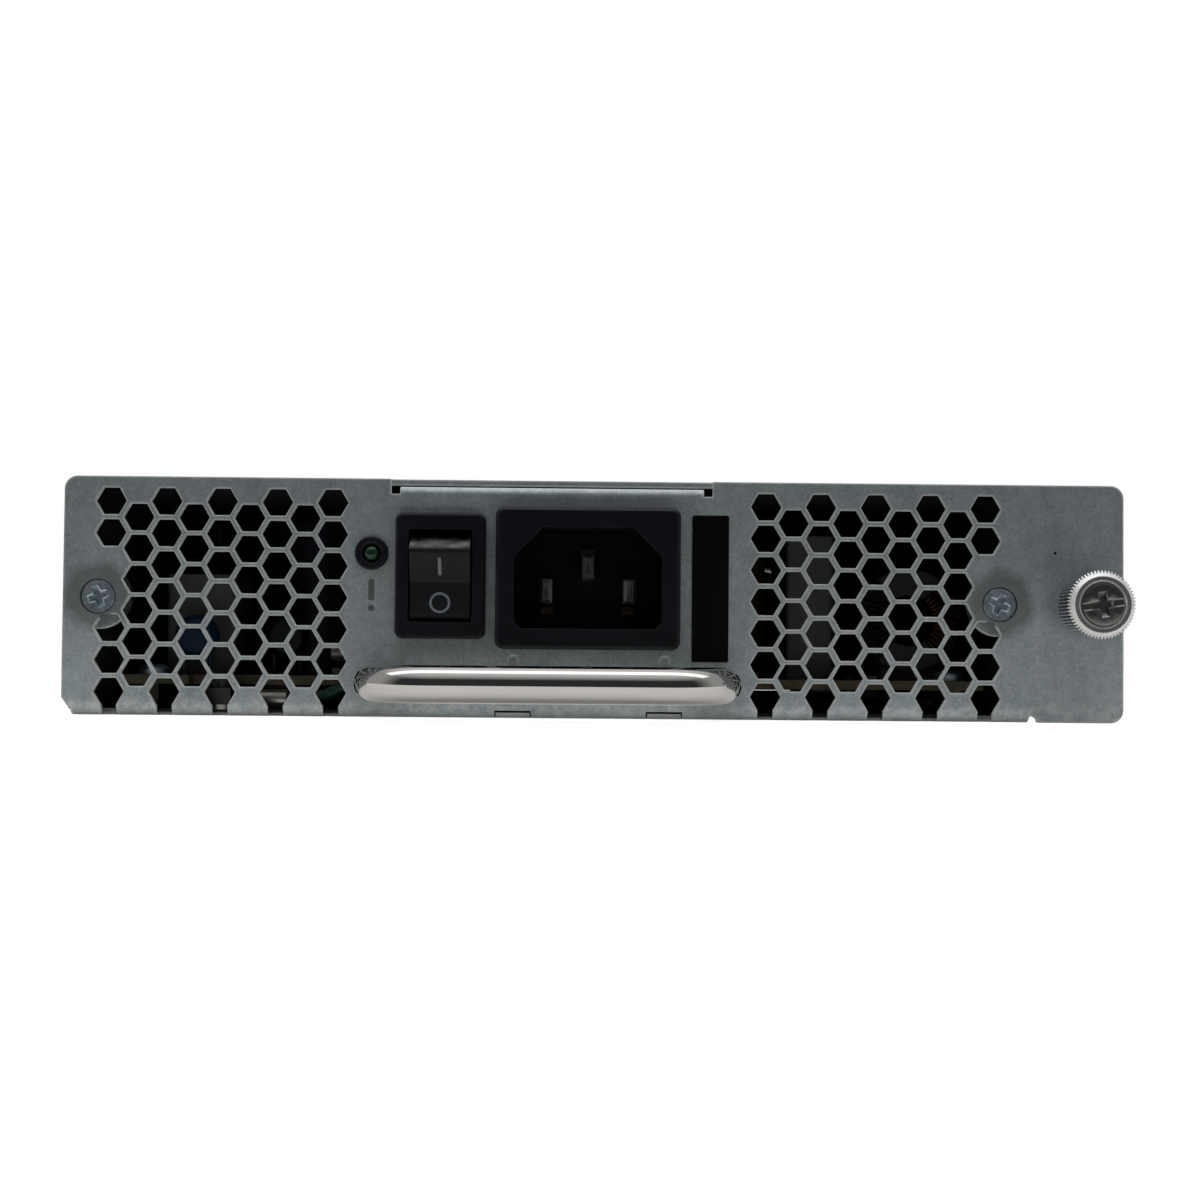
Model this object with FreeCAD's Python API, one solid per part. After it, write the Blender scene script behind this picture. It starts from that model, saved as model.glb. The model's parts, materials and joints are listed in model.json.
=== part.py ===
import FreeCAD, Part
import math
import os

# Hot swap server power supply, 1U, in millimetres.
# Origin: underside of the base pan, at mid width and mid length. The front panel faces -Y.

# Case
body_length = 250.0
body_width = 160.0
body_height = 39.8
sheet = 1.0
bend_inner = 1.5
touch = 0.1                     # gap between sheets that lie on each other
fit = 0.3                       # gap between moving plastic pieces
panel_margin = 1.4              # panel beyond the body on the left
ear_width = 15.7
panel_corner = 2.2
relief_radius = 1.0
corner_cut_high = 2.9           # lower left corner, cut off at a slant
corner_cut_low = 0.95

# Two lanced tabs in the lower bend, and the dimples above them
lance_places = (-6.5, 18.8)
lance_width = 6.1
lance_top = 1.25
lance_side_gap = 0.22
lance_top_gap = 0.32
lance_depth = 3.5
dimple_z = 9.6
dimple_radius = 0.9
dimple_depth = 0.25

# Recess in the panel's top edge, with the flange turned back below the cover
recess_left = -27.1
recess_right = 26.7
flange_gap = 0.25
flange_bend = 0.25
flange_length = 7.0
notch_width = 1.5
notch_depth = 2.15

# Hexagonal vents: two blocks of staggered columns
vent_flats = 4.5
vent_pitch_x = 4.607
vent_columns = 9
vent_left_margin = 6.37
vent_right_margin = 44.32
vent_even = (7, 35.67, 5.293)   # rows, height of the top row, pitch
vent_odd = (6, 33.0, 5.18)
vent_cut_depth = 3.2
screw_rows = (2, 3)              # rows left out of the outermost column, where the screw is

# Two countersunk screws that hold the cover's tabs behind the panel
front_screw_margins = (4.4, 5.1)
front_screw_z = 19.7
screw_radius = 1.5
screw_head_radius = 2.8
cover_head_radius = 2.5
tab_radius = 5.4
tab_collar = 1.2
collar_radius = 2.4
side_screw_z = 6.5
thread_gap = 0.03

# Inlet, C14
inlet_x = 5.9
inlet_z = 23.35
inlet_flange = (30.7, 23.7)
inlet_proud = 3.0
inlet_body = (27.0, 19.8)
inlet_mouth = (24.6, 16.8)
inlet_depth = 17.5
inlet_chamfer = 4.8
inlet_back = 22.0
blade_width = 4.0
blade_thick = 2.0
blade_spacing = 14.0
blade_offset = 2.0
blade_tip_depth = 3.5
fold_wide = 0.8                 # hollow in the tip of a folded blade
fold_tall = 2.8
fold_depth = 5.0
tab_width = 6.3
tab_thick = 0.8
tab_length = 8.0

# Rocker switch
switch_x = -18.65
switch_z = 23.6
bezel = (15.0, 21.0)
bezel_proud = 2.0
bezel_corner = 1.3
switch_body = (13.0, 19.0)
switch_back = 16.0
switch_mouth = (10.6, 15.4)
rocker_tilt = 13.0
rocker_pivot_depth = 5.4
rocker_valley = 5.2
rocker_end = 6.1
rocker_crest = 1.1
rocker_pivot_radius = 1.5
pivot_gap = 0.05

# Indicator
lamp_x = -30.2
lamp_z = 27.3
holder_radius = 2.8
holder_proud = 0.7
lamp_radius = 1.45
lamp_pitch = 2.54

# Label, bare
label_x = 26.35
label_z = 21.9
label_size = (6.4, 24.8)
label_thick = 0.15

# Handle
handle_x = -0.5
handle_z = 5.8
handle_span = 57.0
handle_reach = 17.5
handle_radius = 3.0
handle_bend = 10.0

# Captive thumbscrew
thumb_margin = 9.0
thumb_z = 19.5
knob_radius = 5.55
knob_tooth = 0.25
knob_teeth = 60
knob_proud = 11.3
knob_clear = 0.1
knob_cap = 1.0
thumb_travel = 2.6
ferrule_radius = 3.2
ferrule_flange_radius = 4.2
ferrule_flange = 0.8
ferrule_height = 3.6
thumb_shank_radius = 1.3
thumb_body_radius = 1.6
thumb_thread_radius = 1.75
thumb_thread_length = 4.6
thumb_relief = 0.6
spring_wire = 0.25
spring_turns = 5

# Board and what stands on it
board_top = 6.7
board_thick = 1.6
board_front_gap = 7.0
board_margin = 6.0
board_rear_gap = 33.0
film_thick = 0.4
sink_x = 64.5
package_thick = 4.8
package_hole_z = 27.0
tongue_half = 31.0

# Fans
fan_size = 36.0
fan_depth = 28.0
fan_margin = 22.0
fan_z = 19.9
fan_duct = 17.2
fan_hub = 9.0
fan_blades = 7
fan_hole = 15.2
blade_gap = 0.5

# Output connector
connector_half = 26.0
connector_height = 11.0
connector_length = 20.0
connector_proud = 6.0

# Derived places
front = -body_length / 2
rear = body_length / 2
panel_back = front + sheet
half = body_width / 2
panel_left = -half - panel_margin
vent_left_x = -half + vent_left_margin
vent_right_x = half - vent_right_margin
front_screw_left = -half + front_screw_margins[0]
front_screw_right = half - front_screw_margins[1]
thumb_x = half + thumb_margin
knob_length = knob_proud - thumb_travel - knob_clear
fan_x = half - fan_margin
board_half = half - board_margin
cover_inside = half - sheet
pan_half = cover_inside - touch
ceiling = body_height - sheet
panel_right = half + ear_width
board_bottom = board_top - board_thick
board_front = panel_back + board_front_gap
board_rear = rear - board_rear_gap
tongue_rear = rear - sheet - 1.5


def V(x, y, z):
    return FreeCAD.Vector(x, y, z)


def block(x0, x1, y0, y1, z0, z1):
    return Part.makeBox(x1 - x0, y1 - y0, z1 - z0, V(x0, y0, z0))


def rod(radius, start, end):
    axis = end.sub(start)
    return Part.makeCylinder(radius, axis.Length, start, axis)


def along_y(points, y0, y1):
    corners = [V(x, y0, z) for x, z in points]
    face = Part.Face(Part.makePolygon(corners + corners[:1]))
    return face.extrude(V(0, y1 - y0, 0))


def along_x(points, x0, x1):
    corners = [V(x0, y, z) for y, z in points]
    face = Part.Face(Part.makePolygon(corners + corners[:1]))
    return face.extrude(V(x1 - x0, 0, 0))


def along_z(points, z0, z1):
    corners = [V(x, y, z0) for x, y in points]
    face = Part.Face(Part.makePolygon(corners + corners[:1]))
    return face.extrude(V(0, 0, z1 - z0))


def union(shapes):
    first = shapes[0]
    if len(shapes) == 1:
        return first
    return first.fuse(shapes[1:]).removeSplitter()


def edges_along(shape, axis):
    found = []
    for edge in shape.Edges:
        if edge.Length < 1e-6 or not isinstance(edge.Curve, Part.Line):
            continue
        if abs(edge.tangentAt(edge.FirstParameter).dot(axis)) > 0.999:
            found.append(edge)
    return found


def rounded_block_y(x0, x1, y0, y1, z0, z1, radius):
    solid = block(x0, x1, y0, y1, z0, z1)
    return solid.makeFillet(radius, edges_along(solid, V(0, 1, 0)))


def rounded_block_z(x0, x1, y0, y1, z0, z1, radius):
    solid = block(x0, x1, y0, y1, z0, z1)
    return solid.makeFillet(radius, edges_along(solid, V(0, 0, 1)))


def bent_tube(points, radius, bend_share=0.45):
    corners = [V(*point) for point in points]
    runs = [(b.sub(a)).Length for a, b in zip(corners, corners[1:])]
    edges = []
    last = corners[0]
    for i in range(1, len(corners) - 1):
        into = corners[i].sub(corners[i - 1]).normalize()
        out = corners[i + 1].sub(corners[i]).normalize()
        turn = into.getAngle(out)
        setback = bend_share * min(runs[i - 1], runs[i])
        bend_radius = setback / math.tan(turn / 2)
        start = corners[i].sub(into * setback)
        end = corners[i].add(out * setback)
        inward = out.sub(into).normalize()
        middle = corners[i].add(inward * (bend_radius / math.cos(turn / 2) - bend_radius))
        edges.append(Part.LineSegment(last, start).toShape())
        edges.append(Part.Arc(start, middle, end).toShape())
        last = end
    edges.append(Part.LineSegment(last, corners[-1]).toShape())
    path = Part.Wire(edges)
    direction = corners[1].sub(corners[0])
    section = Part.Wire([Part.Circle(corners[0], direction, radius).toShape()])
    return path.makePipeShell([section], True, True)


def screw_pan_head(seat, direction, length, head_radius=2.6, head_height=1.8, radius=screw_radius):
    away = V(*direction)
    head = rod(head_radius, seat, seat.sub(away * head_height))
    rim = edges_on_plane(head, seat.sub(away * head_height), away)
    head = head.makeChamfer(0.6, rim)
    return head.fuse(rod(radius, seat, seat.add(away * length))).removeSplitter()


def edges_on_plane(shape, point, normal):
    found = []
    for edge in shape.Edges:
        if isinstance(edge.Curve, Part.Circle):
            if abs(edge.Curve.Center.sub(point).dot(normal)) < 1e-6:
                found.append(edge)
    return found


def screw_countersunk(face, direction, length, head_radius=screw_head_radius):
    away = V(*direction)
    cone_height = head_radius - screw_radius
    cone = Part.makeCone(head_radius, screw_radius, cone_height, face, away)
    shank = rod(screw_radius, face.add(away * cone_height), face.add(away * length))
    return cone.fuse(shank).removeSplitter()


def countersink(face, direction, depth, head_radius=screw_head_radius):
    away = V(*direction)
    mouth = head_radius + touch
    height = mouth - screw_radius - touch
    cone = Part.makeCone(mouth, screw_radius + touch, height, face, away)
    return cone.fuse(rod(screw_radius + touch, face, face.add(away * depth)))


# Front panel and base pan: one sheet, punched and bent


def hexagon(x, z):
    corner = vent_flats / math.sqrt(3)
    points = []
    for i in range(6):
        angle = math.radians(60 * i)
        points.append((x + corner * math.cos(angle), z + corner * math.sin(angle)))
    return points


def vent_cutters():
    cutters = []
    for block_x, blocked in ((vent_left_x, 0), (vent_right_x, vent_columns - 1)):
        for column in range(vent_columns):
            rows, top, pitch = vent_even if column % 2 == 0 else vent_odd
            for row in range(rows):
                if column == blocked and row in screw_rows:
                    continue
                points = hexagon(block_x + column * vent_pitch_x, top - row * pitch)
                cutters.append(along_y(points, front - 1, front + vent_cut_depth))
    return cutters


def bend_slots():
    slots = []
    side = vent_flats / math.sqrt(3)
    rows, top, pitch = vent_even
    for block_x in (vent_left_x, vent_right_x):
        for column in range(0, vent_columns, 2):
            x = block_x + column * vent_pitch_x
            slots.append(block(x - side / 2, x + side / 2, front - 1, front + vent_cut_depth,
                               -1, top - (rows - 1) * pitch))
    return slots


def lance_cut(x):
    wide = lance_width / 2
    narrow = wide - lance_side_gap
    end = front + lance_depth
    hole = block(x - wide, x + wide, front - 1, end, -1, lance_top)
    tongue = block(x - narrow, x + narrow, front - 2, end + 1, -2, lance_top - lance_top_gap)
    return hole.cut(tongue)


def panel_outline():
    plate = rounded_block_y(panel_left, panel_right, front, panel_back, 0, body_height, panel_corner)
    notch = rod(relief_radius, V(half + 0.2, front - 1, 0), V(half + 0.2, panel_back + 1, 0))
    recess = block(recess_left, recess_right, front - 1, panel_back + 1,
                   body_height - sheet - flange_gap - flange_bend - sheet, body_height + 1)
    return plate.cut([notch, recess])


def bend_profile():
    outer = bend_inner + sheet
    mid = math.sqrt(0.5)
    centre_y = front + outer
    points = [
        Part.LineSegment(V(0, front, body_height / 2), V(0, front, outer)),
        Part.Arc(V(0, front, outer), V(0, centre_y - outer * mid, outer - outer * mid), V(0, centre_y, 0)),
        Part.LineSegment(V(0, centre_y, 0), V(0, centre_y + 3, 0)),
        Part.LineSegment(V(0, centre_y + 3, 0), V(0, centre_y + 3, sheet)),
        Part.LineSegment(V(0, centre_y + 3, sheet), V(0, centre_y, sheet)),
        Part.Arc(V(0, centre_y, sheet),
                 V(0, centre_y - bend_inner * mid, outer - bend_inner * mid), V(0, panel_back, outer)),
        Part.LineSegment(V(0, panel_back, outer), V(0, panel_back, body_height / 2)),
        Part.LineSegment(V(0, panel_back, body_height / 2), V(0, front, body_height / 2)),
    ]
    return Part.Face(Part.Wire([piece.toShape() for piece in points]))


def top_flange():
    outer = flange_bend + sheet
    top = ceiling - flange_gap
    mid = math.sqrt(0.5)
    low = top - outer
    tail = front + outer + flange_length
    points = [
        Part.LineSegment(V(0, front, low), V(0, panel_back, low)),
        Part.Arc(V(0, panel_back, low),
                 V(0, front + outer - flange_bend * mid, low + flange_bend * mid),
                 V(0, front + outer, top - sheet)),
        Part.LineSegment(V(0, front + outer, top - sheet), V(0, tail, top - sheet)),
        Part.LineSegment(V(0, tail, top - sheet), V(0, tail, top)),
        Part.LineSegment(V(0, tail, top), V(0, front + outer, top)),
        Part.Arc(V(0, front + outer, top),
                 V(0, front + outer - outer * mid, low + outer * mid), V(0, front, low)),
    ]
    face = Part.Face(Part.Wire([piece.toShape() for piece in points]))
    left = recess_left + notch_width
    right = recess_right - notch_width
    face.translate(V(left, 0, 0))
    return face.extrude(V(right - left, 0, 0))


def pan_side(side):
    inner = pan_half - sheet
    wall = block(inner, pan_half, front + 8, rear - 4, 0, 11)
    bends = []
    for edge in edges_along(wall, V(0, 1, 0)):
        if edge.BoundBox.ZMax < 1 and edge.BoundBox.XMax > inner + 0.5:
            bends.append(edge)
    wall = wall.makeFillet(sheet * 0.9, bends)
    if side < 0:
        wall = wall.mirror(V(0, 0, 0), V(1, 0, 0))
    return wall


def base_pan():
    bend = bend_profile()
    bend.translate(V(-half, 0, 0))
    bend = bend.extrude(V(body_width, 0, 0))
    corner = [(panel_left - 1, -1), (panel_left - 1, corner_cut_high), (panel_left, corner_cut_high),
              (-half, corner_cut_low), (-half, -1)]
    plate = panel_outline().cut([along_y(corner, front - 1, panel_back + 1)])
    under_bend = block(-half, half, front - 1, panel_back + 1, -1, bend_inner + sheet)
    plate = plate.cut([under_bend])
    floor = block(-pan_half, pan_half, front + sheet + bend_inner + 2, rear - touch, 0, sheet)
    pan = union([plate, bend, floor, pan_side(1), pan_side(-1), top_flange()])
    cuts = vent_cutters() + bend_slots()
    for x in (front_screw_left, front_screw_right):
        cuts.append(countersink(V(x, front, front_screw_z), (0, 1, 0), 3))
    cuts.append(cutout(inlet_x, inlet_z, inlet_body))
    cuts.append(cutout(switch_x, switch_z, switch_body))
    cuts.append(rod(holder_radius - 0.5, V(lamp_x, front - 1, lamp_z), V(lamp_x, panel_back + 1, lamp_z)))
    cuts.append(rod(thumb_hole_radius(), V(thumb_x, front - 1, thumb_z), V(thumb_x, panel_back + 1, thumb_z)))
    for side in (-1, 1):
        x = handle_x + side * handle_span / 2
        cuts.append(rod(screw_radius + touch, V(x, front - 1, handle_z), V(x, panel_back + 1, handle_z)))
    for x in lance_places:
        cuts.append(lance_cut(x))
        cuts.append(rod(dimple_radius, V(x, front - 1, dimple_z), V(x, front + dimple_depth, dimple_z)))
    for x in (recess_left, recess_right - notch_width):
        notch = rounded_block_y(x, x + notch_width, front - 1, front + flange_length + 3,
                                body_height - notch_depth, body_height + 2, 0.45)
        cuts.append(notch)
    for y in side_screw_places():
        for side in (-1, 1):
            inside = V(side * (pan_half - 3), y, side_screw_z)
            outside = V(side * (half + 1), y, side_screw_z)
            cuts.append(rod(screw_radius + thread_gap, inside, outside))
    for x, y in standoff_places():
        cuts.append(rod(screw_radius + thread_gap, V(x, y, -1), V(x, y, 2)))
    return pan.cut(cuts)


def cutout(x, z, size):
    wide = size[0] / 2 + touch
    tall = size[1] / 2 + touch
    return block(x - wide, x + wide, front - 1, panel_back + 1, z - tall, z + tall)


def thumb_hole_radius():
    return ferrule_radius + touch


def side_screw_places():
    return (-70.0, 70.0)


def standoff_places():
    return ((-69, -112.5), (69, -112.5), (-68, 86), (68, 86), (0, 40))


# Cover, rear wall and their screws


def top_cover():
    y0 = panel_back + touch
    y1 = rear
    top = block(-half, half, y0, y1, ceiling, body_height)
    walls = []
    for side in (-1, 1):
        x0, x1 = sorted((side * half, side * cover_inside))
        walls.append(block(x0, x1, y0, y1, fit, body_height))
    shell = union([top] + walls)
    outside = []
    for edge in edges_along(shell, V(0, 1, 0)):
        box = edge.BoundBox
        if box.ZMin > body_height - 0.01 and abs(box.XMin) > half - 0.01:
            outside.append(edge)
    shell = shell.makeFillet(sheet * 0.9, outside)
    corner = [(y0 - 1, -1), (front + 9, -1), (front + 9, 1.5), (front + 7.5, 3.2), (y0 - 1, 3.2)]
    cuts = [along_x(corner, -half - 1, half + 1)]
    for x in (front_screw_left, front_screw_right):
        side = math.copysign(1, x)
        edge = side * (cover_inside + 0.2)
        low = front_screw_z - tab_radius
        high = front_screw_z + tab_radius
        seat = V(x, y0, front_screw_z)
        strip = block(*sorted((x, edge)), y0, y0 + sheet, low, high)
        disc = rod(tab_radius, seat, V(x, y0 + sheet, front_screw_z))
        collar = rod(collar_radius, seat, V(x, y0 + sheet + tab_collar, front_screw_z))
        shell = shell.fuse([strip, disc, collar])
        cuts.append(rod(screw_radius + thread_gap, V(x, y0 - 1, front_screw_z), V(x, y0 + 4, front_screw_z)))
        mouth = screw_head_radius - sheet + touch
        cuts.append(Part.makeCone(mouth, screw_radius, mouth - screw_radius, seat, V(0, 1, 0)))
    for y in side_screw_places():
        for side in (-1, 1):
            cuts.append(countersink(V(side * half, y, side_screw_z), (-side, 0, 0), 3, cover_head_radius))
    for x in rear_screw_places():
        cuts.append(countersink(V(x, rear - 6, body_height), (0, 0, -1), 3, cover_head_radius))
    return shell.removeSplitter().cut(cuts)


def rear_screw_places():
    return (-36.0, 36.0)


def rear_panel():
    wide = cover_inside - touch
    low = sheet + touch
    high = ceiling - touch
    inside = rear - sheet
    plate = block(-wide, wide, inside, rear, low, high)
    foot = block(-wide + 3, wide - 3, inside - 9, rear, low, low + sheet)
    lip = block(-wide + 3, wide - 3, inside - 9, rear, high - sheet, high)
    wall = union([plate, foot, lip])
    cuts = []
    for side in (-1, 1):
        cuts.append(rod(fan_duct - 0.2, V(side * fan_x, inside - 1, fan_z), V(side * fan_x, rear + 1, fan_z)))
        for x, z in fan_holes(side):
            cuts.append(rod(screw_radius + touch, V(x, inside - 1, z), V(x, rear + 1, z)))
        fan_left = side * fan_x - fan_size / 2 - fit
        cuts.append(block(fan_left, fan_left + fan_size + 2 * fit, inside - 10, inside, low - 1, high + 1))
    cuts.append(block(-connector_half - fit, connector_half + fit, inside - 1, rear + 1,
                      board_bottom - 1.0, board_top + connector_height + fit))
    for x in rear_screw_places():
        cuts.append(rod(screw_radius + thread_gap, V(x, rear - 6, high - 3), V(x, rear - 6, high + 1)))
    return wall.cut(cuts)


def cover_screws():
    screws = []
    for y in side_screw_places():
        for side in (-1, 1):
            head = V(side * (half - 0.05), y, side_screw_z)
            screws.append(screw_countersunk(head, (-side, 0, 0), 5, cover_head_radius))
    for x in rear_screw_places():
        screws.append(screw_countersunk(V(x, rear - 6, body_height - 0.05), (0, 0, -1), 5, cover_head_radius))
    return Part.makeCompound(screws)


def front_screws():
    screws = []
    for x in (front_screw_left, front_screw_right):
        screws.append(screw_countersunk(V(x, front + 0.05, front_screw_z), (0, 1, 0), 6))
    return Part.makeCompound(screws)


# Handle


def handle():
    left = handle_x - handle_span / 2
    right = handle_x + handle_span / 2
    out = front - handle_reach
    share = handle_bend * math.tan(math.radians(45)) / handle_reach
    points = [(left, front, handle_z), (left, out, handle_z)]
    points += [(right, out, handle_z), (right, front, handle_z)]
    return bent_tube(points, handle_radius, share)


def handle_screws():
    screws = []
    for side in (-1, 1):
        seat = V(handle_x + side * handle_span / 2, panel_back, handle_z)
        screws.append(screw_pan_head(seat, (0, -1, 0), sheet - touch))
    return Part.makeCompound(screws)


# Inlet


def mouth_outline(grow):
    w = inlet_mouth[0] / 2 + grow
    h = inlet_mouth[1] / 2 + grow
    c = inlet_chamfer
    s = 1.2
    return [
        (inlet_x - w, inlet_z - h + s), (inlet_x - w + s, inlet_z - h),
        (inlet_x + w - s, inlet_z - h), (inlet_x + w, inlet_z - h + s),
        (inlet_x + w, inlet_z + h - c), (inlet_x + w - c, inlet_z + h),
        (inlet_x - w + c, inlet_z + h), (inlet_x - w, inlet_z + h - c),
    ]


def blade_places():
    low = inlet_z - blade_offset
    high = inlet_z + blade_offset
    aside = blade_spacing / 2
    return ((inlet_x - aside, low), (inlet_x, high), (inlet_x + aside, low))


def inlet_housing():
    face = front - inlet_proud
    fw, fh = inlet_flange[0] / 2, inlet_flange[1] / 2
    flange = rounded_block_y(inlet_x - fw, inlet_x + fw, face, front, inlet_z - fh, inlet_z + fh, 1.5)
    flange = flange.makeChamfer(0.6, [e for e in flange.Edges if abs(e.BoundBox.YMax - face) < 1e-6])
    bw, bh = inlet_body[0] / 2, inlet_body[1] / 2
    body = rounded_block_y(inlet_x - bw, inlet_x + bw, front, front + inlet_back,
                           inlet_z - bh, inlet_z + bh, 1.0)
    shape = union([flange, body])
    cuts = [along_y(mouth_outline(0), face - 1, face + inlet_depth)]
    for x, z in blade_places():
        cuts.append(block(x - blade_thick / 2, x + blade_thick / 2, face, front + inlet_back + 1,
                          z - blade_width / 2, z + blade_width / 2))
    return union([shape.cut(cuts)] + snap_wings())


def snap_wings():
    wings = []
    bw = inlet_body[0] / 2
    for side in (-1, 1):
        x = inlet_x + side * bw
        points = [(x - side * 0.5, panel_back + touch), (x + side * 1.1, panel_back + touch + 0.8),
                  (x + side * 0.2, panel_back + 8), (x - side * 0.5, panel_back + 8)]
        wings.append(along_z(points, inlet_z - 3, inlet_z + 3))
    return wings


def inlet_blades():
    face = front - inlet_proud
    blades = []
    for x, z in blade_places():
        tip = face + blade_tip_depth
        blade = block(x - blade_thick / 2, x + blade_thick / 2, tip, front + inlet_back,
                      z - blade_width / 2, z + blade_width / 2)
        blade = blade.makeChamfer(0.5, [e for e in blade.Edges if abs(e.BoundBox.YMax - tip) < 1e-6])
        fold = block(x - fold_wide / 2, x + fold_wide / 2, tip - 1, tip + fold_depth,
                     z - fold_tall / 2, z + fold_tall / 2)
        back = front + inlet_back
        tail = block(x - tab_thick / 2, x + tab_thick / 2, back, back + tab_length,
                     z - tab_width / 2, z + tab_width / 2)
        blades.append(union([blade.cut(fold), tail]))
    return Part.makeCompound(blades)


# Rocker switch


def switch_pivot():
    return V(switch_x, front - bezel_proud + rocker_pivot_depth, switch_z)


def switch_housing():
    face = front - bezel_proud
    fw, fh = bezel[0] / 2, bezel[1] / 2
    rim = rounded_block_y(switch_x - fw, switch_x + fw, face, front,
                          switch_z - fh, switch_z + fh, bezel_corner)
    rim = rim.makeFillet(0.7, [e for e in rim.Edges if abs(e.BoundBox.YMax - face) < 1e-6])
    bw, bh = switch_body[0] / 2, switch_body[1] / 2
    body = block(switch_x - bw, switch_x + bw, front, front + switch_back, switch_z - bh, switch_z + bh)
    shape = union([rim, body])
    mw, mh = switch_mouth[0] / 2, switch_mouth[1] / 2
    well = block(switch_x - mw, switch_x + mw, face - 1, face + 11, switch_z - mh, switch_z + mh)
    pivot = switch_pivot()
    reach = V(bw - 0.4, 0, 0)
    bearing = rod(rocker_pivot_radius + pivot_gap, pivot.sub(reach), pivot.add(reach))
    wings = []
    for side in (-1, 1):
        z = switch_z + side * bh
        points = [(panel_back + touch, z - side * 0.5), (panel_back + touch + 0.7, z + side * 0.9),
                  (panel_back + 6, z + side * 0.1), (panel_back + 6, z - side * 0.5)]
        wings.append(along_x(points, switch_x - 3, switch_x + 3))
    cuts = [well, bearing]
    for x, z in terminal_places():
        cuts.append(terminal(x, z, 0.0))
    return union([shape] + wings).cut(cuts)


def terminal_places():
    places = []
    for z in (-6.0, 6.0):
        for x in (-3.5, 3.5):
            places.append((switch_x + x, switch_z + z))
    return places


def terminal(x, z, shorten):
    back = front + switch_back
    return block(x - 0.4, x + 0.4, back - 2.5 + shorten, back + tab_length, z - 2.4, z + 2.4)


def switch_terminals():
    return Part.makeCompound([terminal(x, z, 0.0) for x, z in terminal_places()])


def switch_rocker():
    crest = rocker_valley + rocker_end * math.tan(math.radians(rocker_tilt))
    pivot = switch_pivot()
    outline = [(0, rocker_valley), (rocker_end, crest), (7.1, 2.0), (6.6, -0.6), (2.4, -2.6),
               (-2.4, -2.6), (-6.6, -0.6), (-7.1, 2.0), (-rocker_end, crest)]
    points = [(pivot.y - h, pivot.z + u) for u, h in outline]
    side = switch_mouth[0] / 2 - fit
    body = along_x(points, switch_x - side, switch_x + side)
    soft = [e for e in edges_along(body, V(1, 0, 0)) if e.BoundBox.YMin < pivot.y - rocker_valley - 0.5]
    body = body.makeFillet(rocker_crest, soft)
    reach = V(switch_body[0] / 2 - 0.7, 0, 0)
    pins = rod(rocker_pivot_radius, pivot.sub(reach), pivot.add(reach))
    rocker = union([body, pins])
    rocker.rotate(pivot, V(1, 0, 0), rocker_tilt)
    return rocker


# Indicator and label


def led_holder():
    face = front - holder_proud
    flange = rod(holder_radius, V(lamp_x, face, lamp_z), V(lamp_x, front, lamp_z))
    flange = flange.makeChamfer(0.3, edges_on_plane(flange, V(lamp_x, face, lamp_z), V(0, 1, 0)))
    sleeve = rod(holder_radius - 0.6, V(lamp_x, front, lamp_z), V(lamp_x, front + 6, lamp_z))
    bore = rod(lamp_radius + 0.05, V(lamp_x, front - 3, lamp_z), V(lamp_x, front + 7, lamp_z))
    return union([flange, sleeve]).cut(bore)


def led_lamp():
    start = front + 0.4
    body = rod(lamp_radius, V(lamp_x, start, lamp_z), V(lamp_x, front + 5, lamp_z))
    dome = Part.makeSphere(lamp_radius, V(lamp_x, start, lamp_z))
    rim = rod(1.9, V(lamp_x, front + 6.05, lamp_z), V(lamp_x, front + 7, lamp_z))
    neck = rod(lamp_radius, V(lamp_x, front + 4.5, lamp_z), V(lamp_x, front + 6.1, lamp_z))
    legs = []
    for x in (lamp_x - lamp_pitch / 2, lamp_x + lamp_pitch / 2):
        legs.append(rod(0.25, V(x, front + 6.8, lamp_z), V(x, front + 10, lamp_z)))
    return union([body, dome, neck, rim] + legs)


def blank_label():
    w, h = label_size[0] / 2, label_size[1] / 2
    return rounded_block_y(label_x - w, label_x + w, front - label_thick, front,
                           label_z - h, label_z + h, 0.4)


# Captive thumbscrew


def thumb_point(forward):
    return V(thumb_x, front - forward, thumb_z)


def thumbscrew_ferrule():
    flange = rod(ferrule_flange_radius, thumb_point(0), thumb_point(ferrule_flange))
    flange = flange.makeChamfer(0.3, edges_on_plane(flange, thumb_point(ferrule_flange), V(0, 1, 0)))
    sleeve = rod(ferrule_radius, thumb_point(-sheet), thumb_point(ferrule_height))
    bore = rod(thumb_thread_radius + fit, thumb_point(-sheet - 1), thumb_point(ferrule_height - 0.8))
    mouth = rod(thumb_shank_radius + 0.1, thumb_point(0), thumb_point(ferrule_height + 1))
    return union([flange, sleeve]).cut([bore, mouth])


def thumbscrew_spring():
    radius = (ferrule_radius + skirt_radius()) / 2
    length = knob_proud - knob_cap - ferrule_flange - 2 * spring_wire - 0.1
    helix = Part.makeHelix(length / spring_turns, length, radius)
    corners = []
    for i in range(7):
        angle = math.pi * i / 3
        corners.append(V(radius + spring_wire * math.cos(angle), 0, spring_wire * math.sin(angle)))
    section = Part.makePolygon(corners)
    coil = Part.Wire(helix.Edges).makePipeShell([section], True, True)
    coil.rotate(V(0, 0, 0), V(1, 0, 0), 90)
    coil.translate(thumb_point(ferrule_flange + spring_wire + 0.05))
    return coil


def skirt_radius():
    return knob_radius - 1.2


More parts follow.
